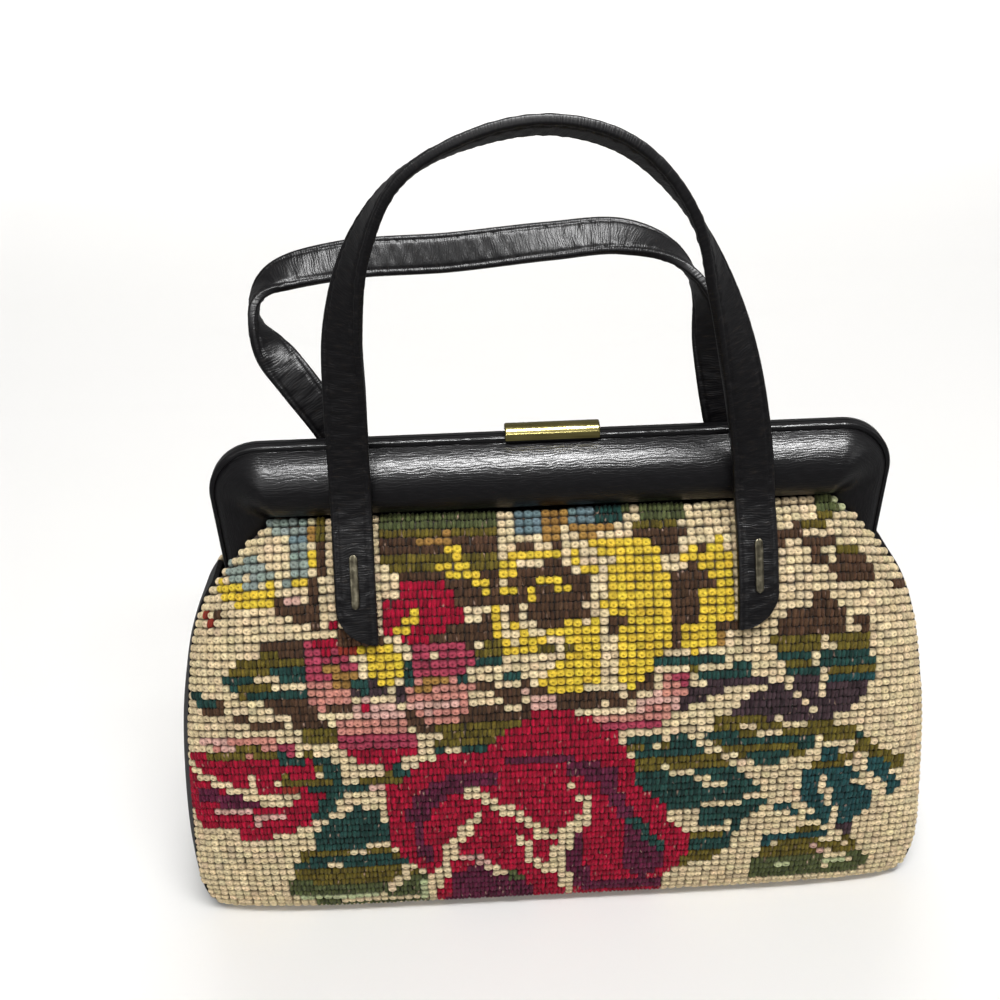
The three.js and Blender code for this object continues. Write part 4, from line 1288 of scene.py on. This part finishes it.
clasp = {
    "length": 35.0, "halfDepth": 4.5, "rise": 4.3, "wall": 0.8, "archSteps": 44,
    "seat": 200.5, "frontLip": 200.1, "backLip": 200.8, "lipInset": 0.35,
    "bead": 0.18, "beadPlace": 0.87 * np.pi, "beadWidth": 0.09,
    "rounding": [(0.0, 0.35), (0.12, 0.14), (0.35, 0.03), (0.7, 0.0)],  # distance from an end, inset there
    "hingeY": 4.9, "hingeZ": 199.1, "pinRadius": 0.9, "pinLength": 30.0, "pinSteps": 40,
    "knuckles": 5, "knuckleGap": 0.05, "knuckleEase": 0.3, "knuckleNick": 0.86,
    "leafSlope": -0.533, "leafDrop": 5.0, "leafInside": 0.64, "leafOutside": 0.16,
    "leafAngles": (0.3, 0.8),  # where the leaf leaves the pin, inside and outside
}


def acrossBag(stations, outlines):
    # outlines in depth and height, each set at its place across the bag
    return np.array([np.column_stack([np.full(len(outline), x), outline])
                     for x, outline in zip(stations, outlines)])


def claspOutline(inset, bead):
    # front lip, half-round arch with a raised bead and back lip, all drawn in by the inset
    backEnd = np.arcsin((clasp["backLip"] - clasp["seat"]) / clasp["rise"])
    angle = np.linspace(np.pi, backEnd, clasp["archSteps"])
    swell = bead * np.exp(-((angle - clasp["beadPlace"]) / clasp["beadWidth"]) ** 2) - inset
    y = (clasp["halfDepth"] + swell) * np.cos(angle)
    z = clasp["seat"] + (clasp["rise"] + swell) * np.sin(angle)
    lip = [[-clasp["halfDepth"] + inset, clasp["frontLip"] + min(inset, clasp["lipInset"])]]
    return np.concatenate([lip, np.column_stack([y, z])])


def buildClaspBar():
    # a hollow half-round bar: the outline and the same drawn in by the wall, smaller at both ends
    fromEnd, insets = np.array(clasp["rounding"]).T
    half = clasp["length"] / 2
    stations = np.concatenate([-half + fromEnd, (half - fromEnd)[::-1]])
    inside = claspOutline(clasp["wall"], 0)[::-1]
    outlines = [np.concatenate([claspOutline(inset, clasp["bead"]), inside])
                for inset in np.concatenate([insets, insets[::-1]])]
    bar = tubeMesh("clasp_bar_brass", acrossBag(stations, outlines), brass, sharpAngle=0.8)
    place(bar, ["clasp_bar"], "brass", "clasp")


def buildClaspBase():
    # outline: hinge pin most of the way round, then a thin leaf down the back of the frame
    slope = clasp["leafSlope"]
    down = np.array([np.cos(slope), np.sin(slope)])
    out = np.array([-down[1], down[0]])
    pin = np.array([clasp["hingeY"], clasp["hingeZ"]])
    foot = pin + down * clasp["leafDrop"]
    leave, meet = clasp["leafAngles"]
    angle = np.linspace(slope + leave, slope + 2 * np.pi - meet, clasp["pinSteps"])
    barrel = clasp["pinRadius"] * np.column_stack([np.cos(angle), np.sin(angle)])
    corners = np.array([foot - out * clasp["leafInside"], foot + out * clasp["leafOutside"]])
    # knuckles side by side along the pin, with a shallow nick between them
    count, nick = clasp["knuckles"], clasp["knuckleNick"]
    gap, ease = clasp["knuckleGap"], clasp["knuckleEase"]
    edges = np.linspace(-clasp["pinLength"] / 2, clasp["pinLength"] / 2, count + 1)[:, None]
    stations = np.hstack([edges[:-1] + gap, edges[:-1] + ease, edges[1:] - ease, edges[1:] - gap]).ravel()
    outlines = [np.concatenate([pin + barrel * size, corners])
                for size in np.tile([nick, 1.0, 1.0, nick], count)]
    leaf = tubeMesh("clasp_hinge_brass", acrossBag(stations, outlines), brass, sharpAngle=0.8)
    place(leaf, ["clasp_base"], "brass")


buildClaspBar()
buildClaspBase()
for pivot in ("hinge_left", "hinge_right"):
    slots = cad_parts[pivot].data.materials
    slots.clear()
    slots.append(nickel)
print("clasp built")
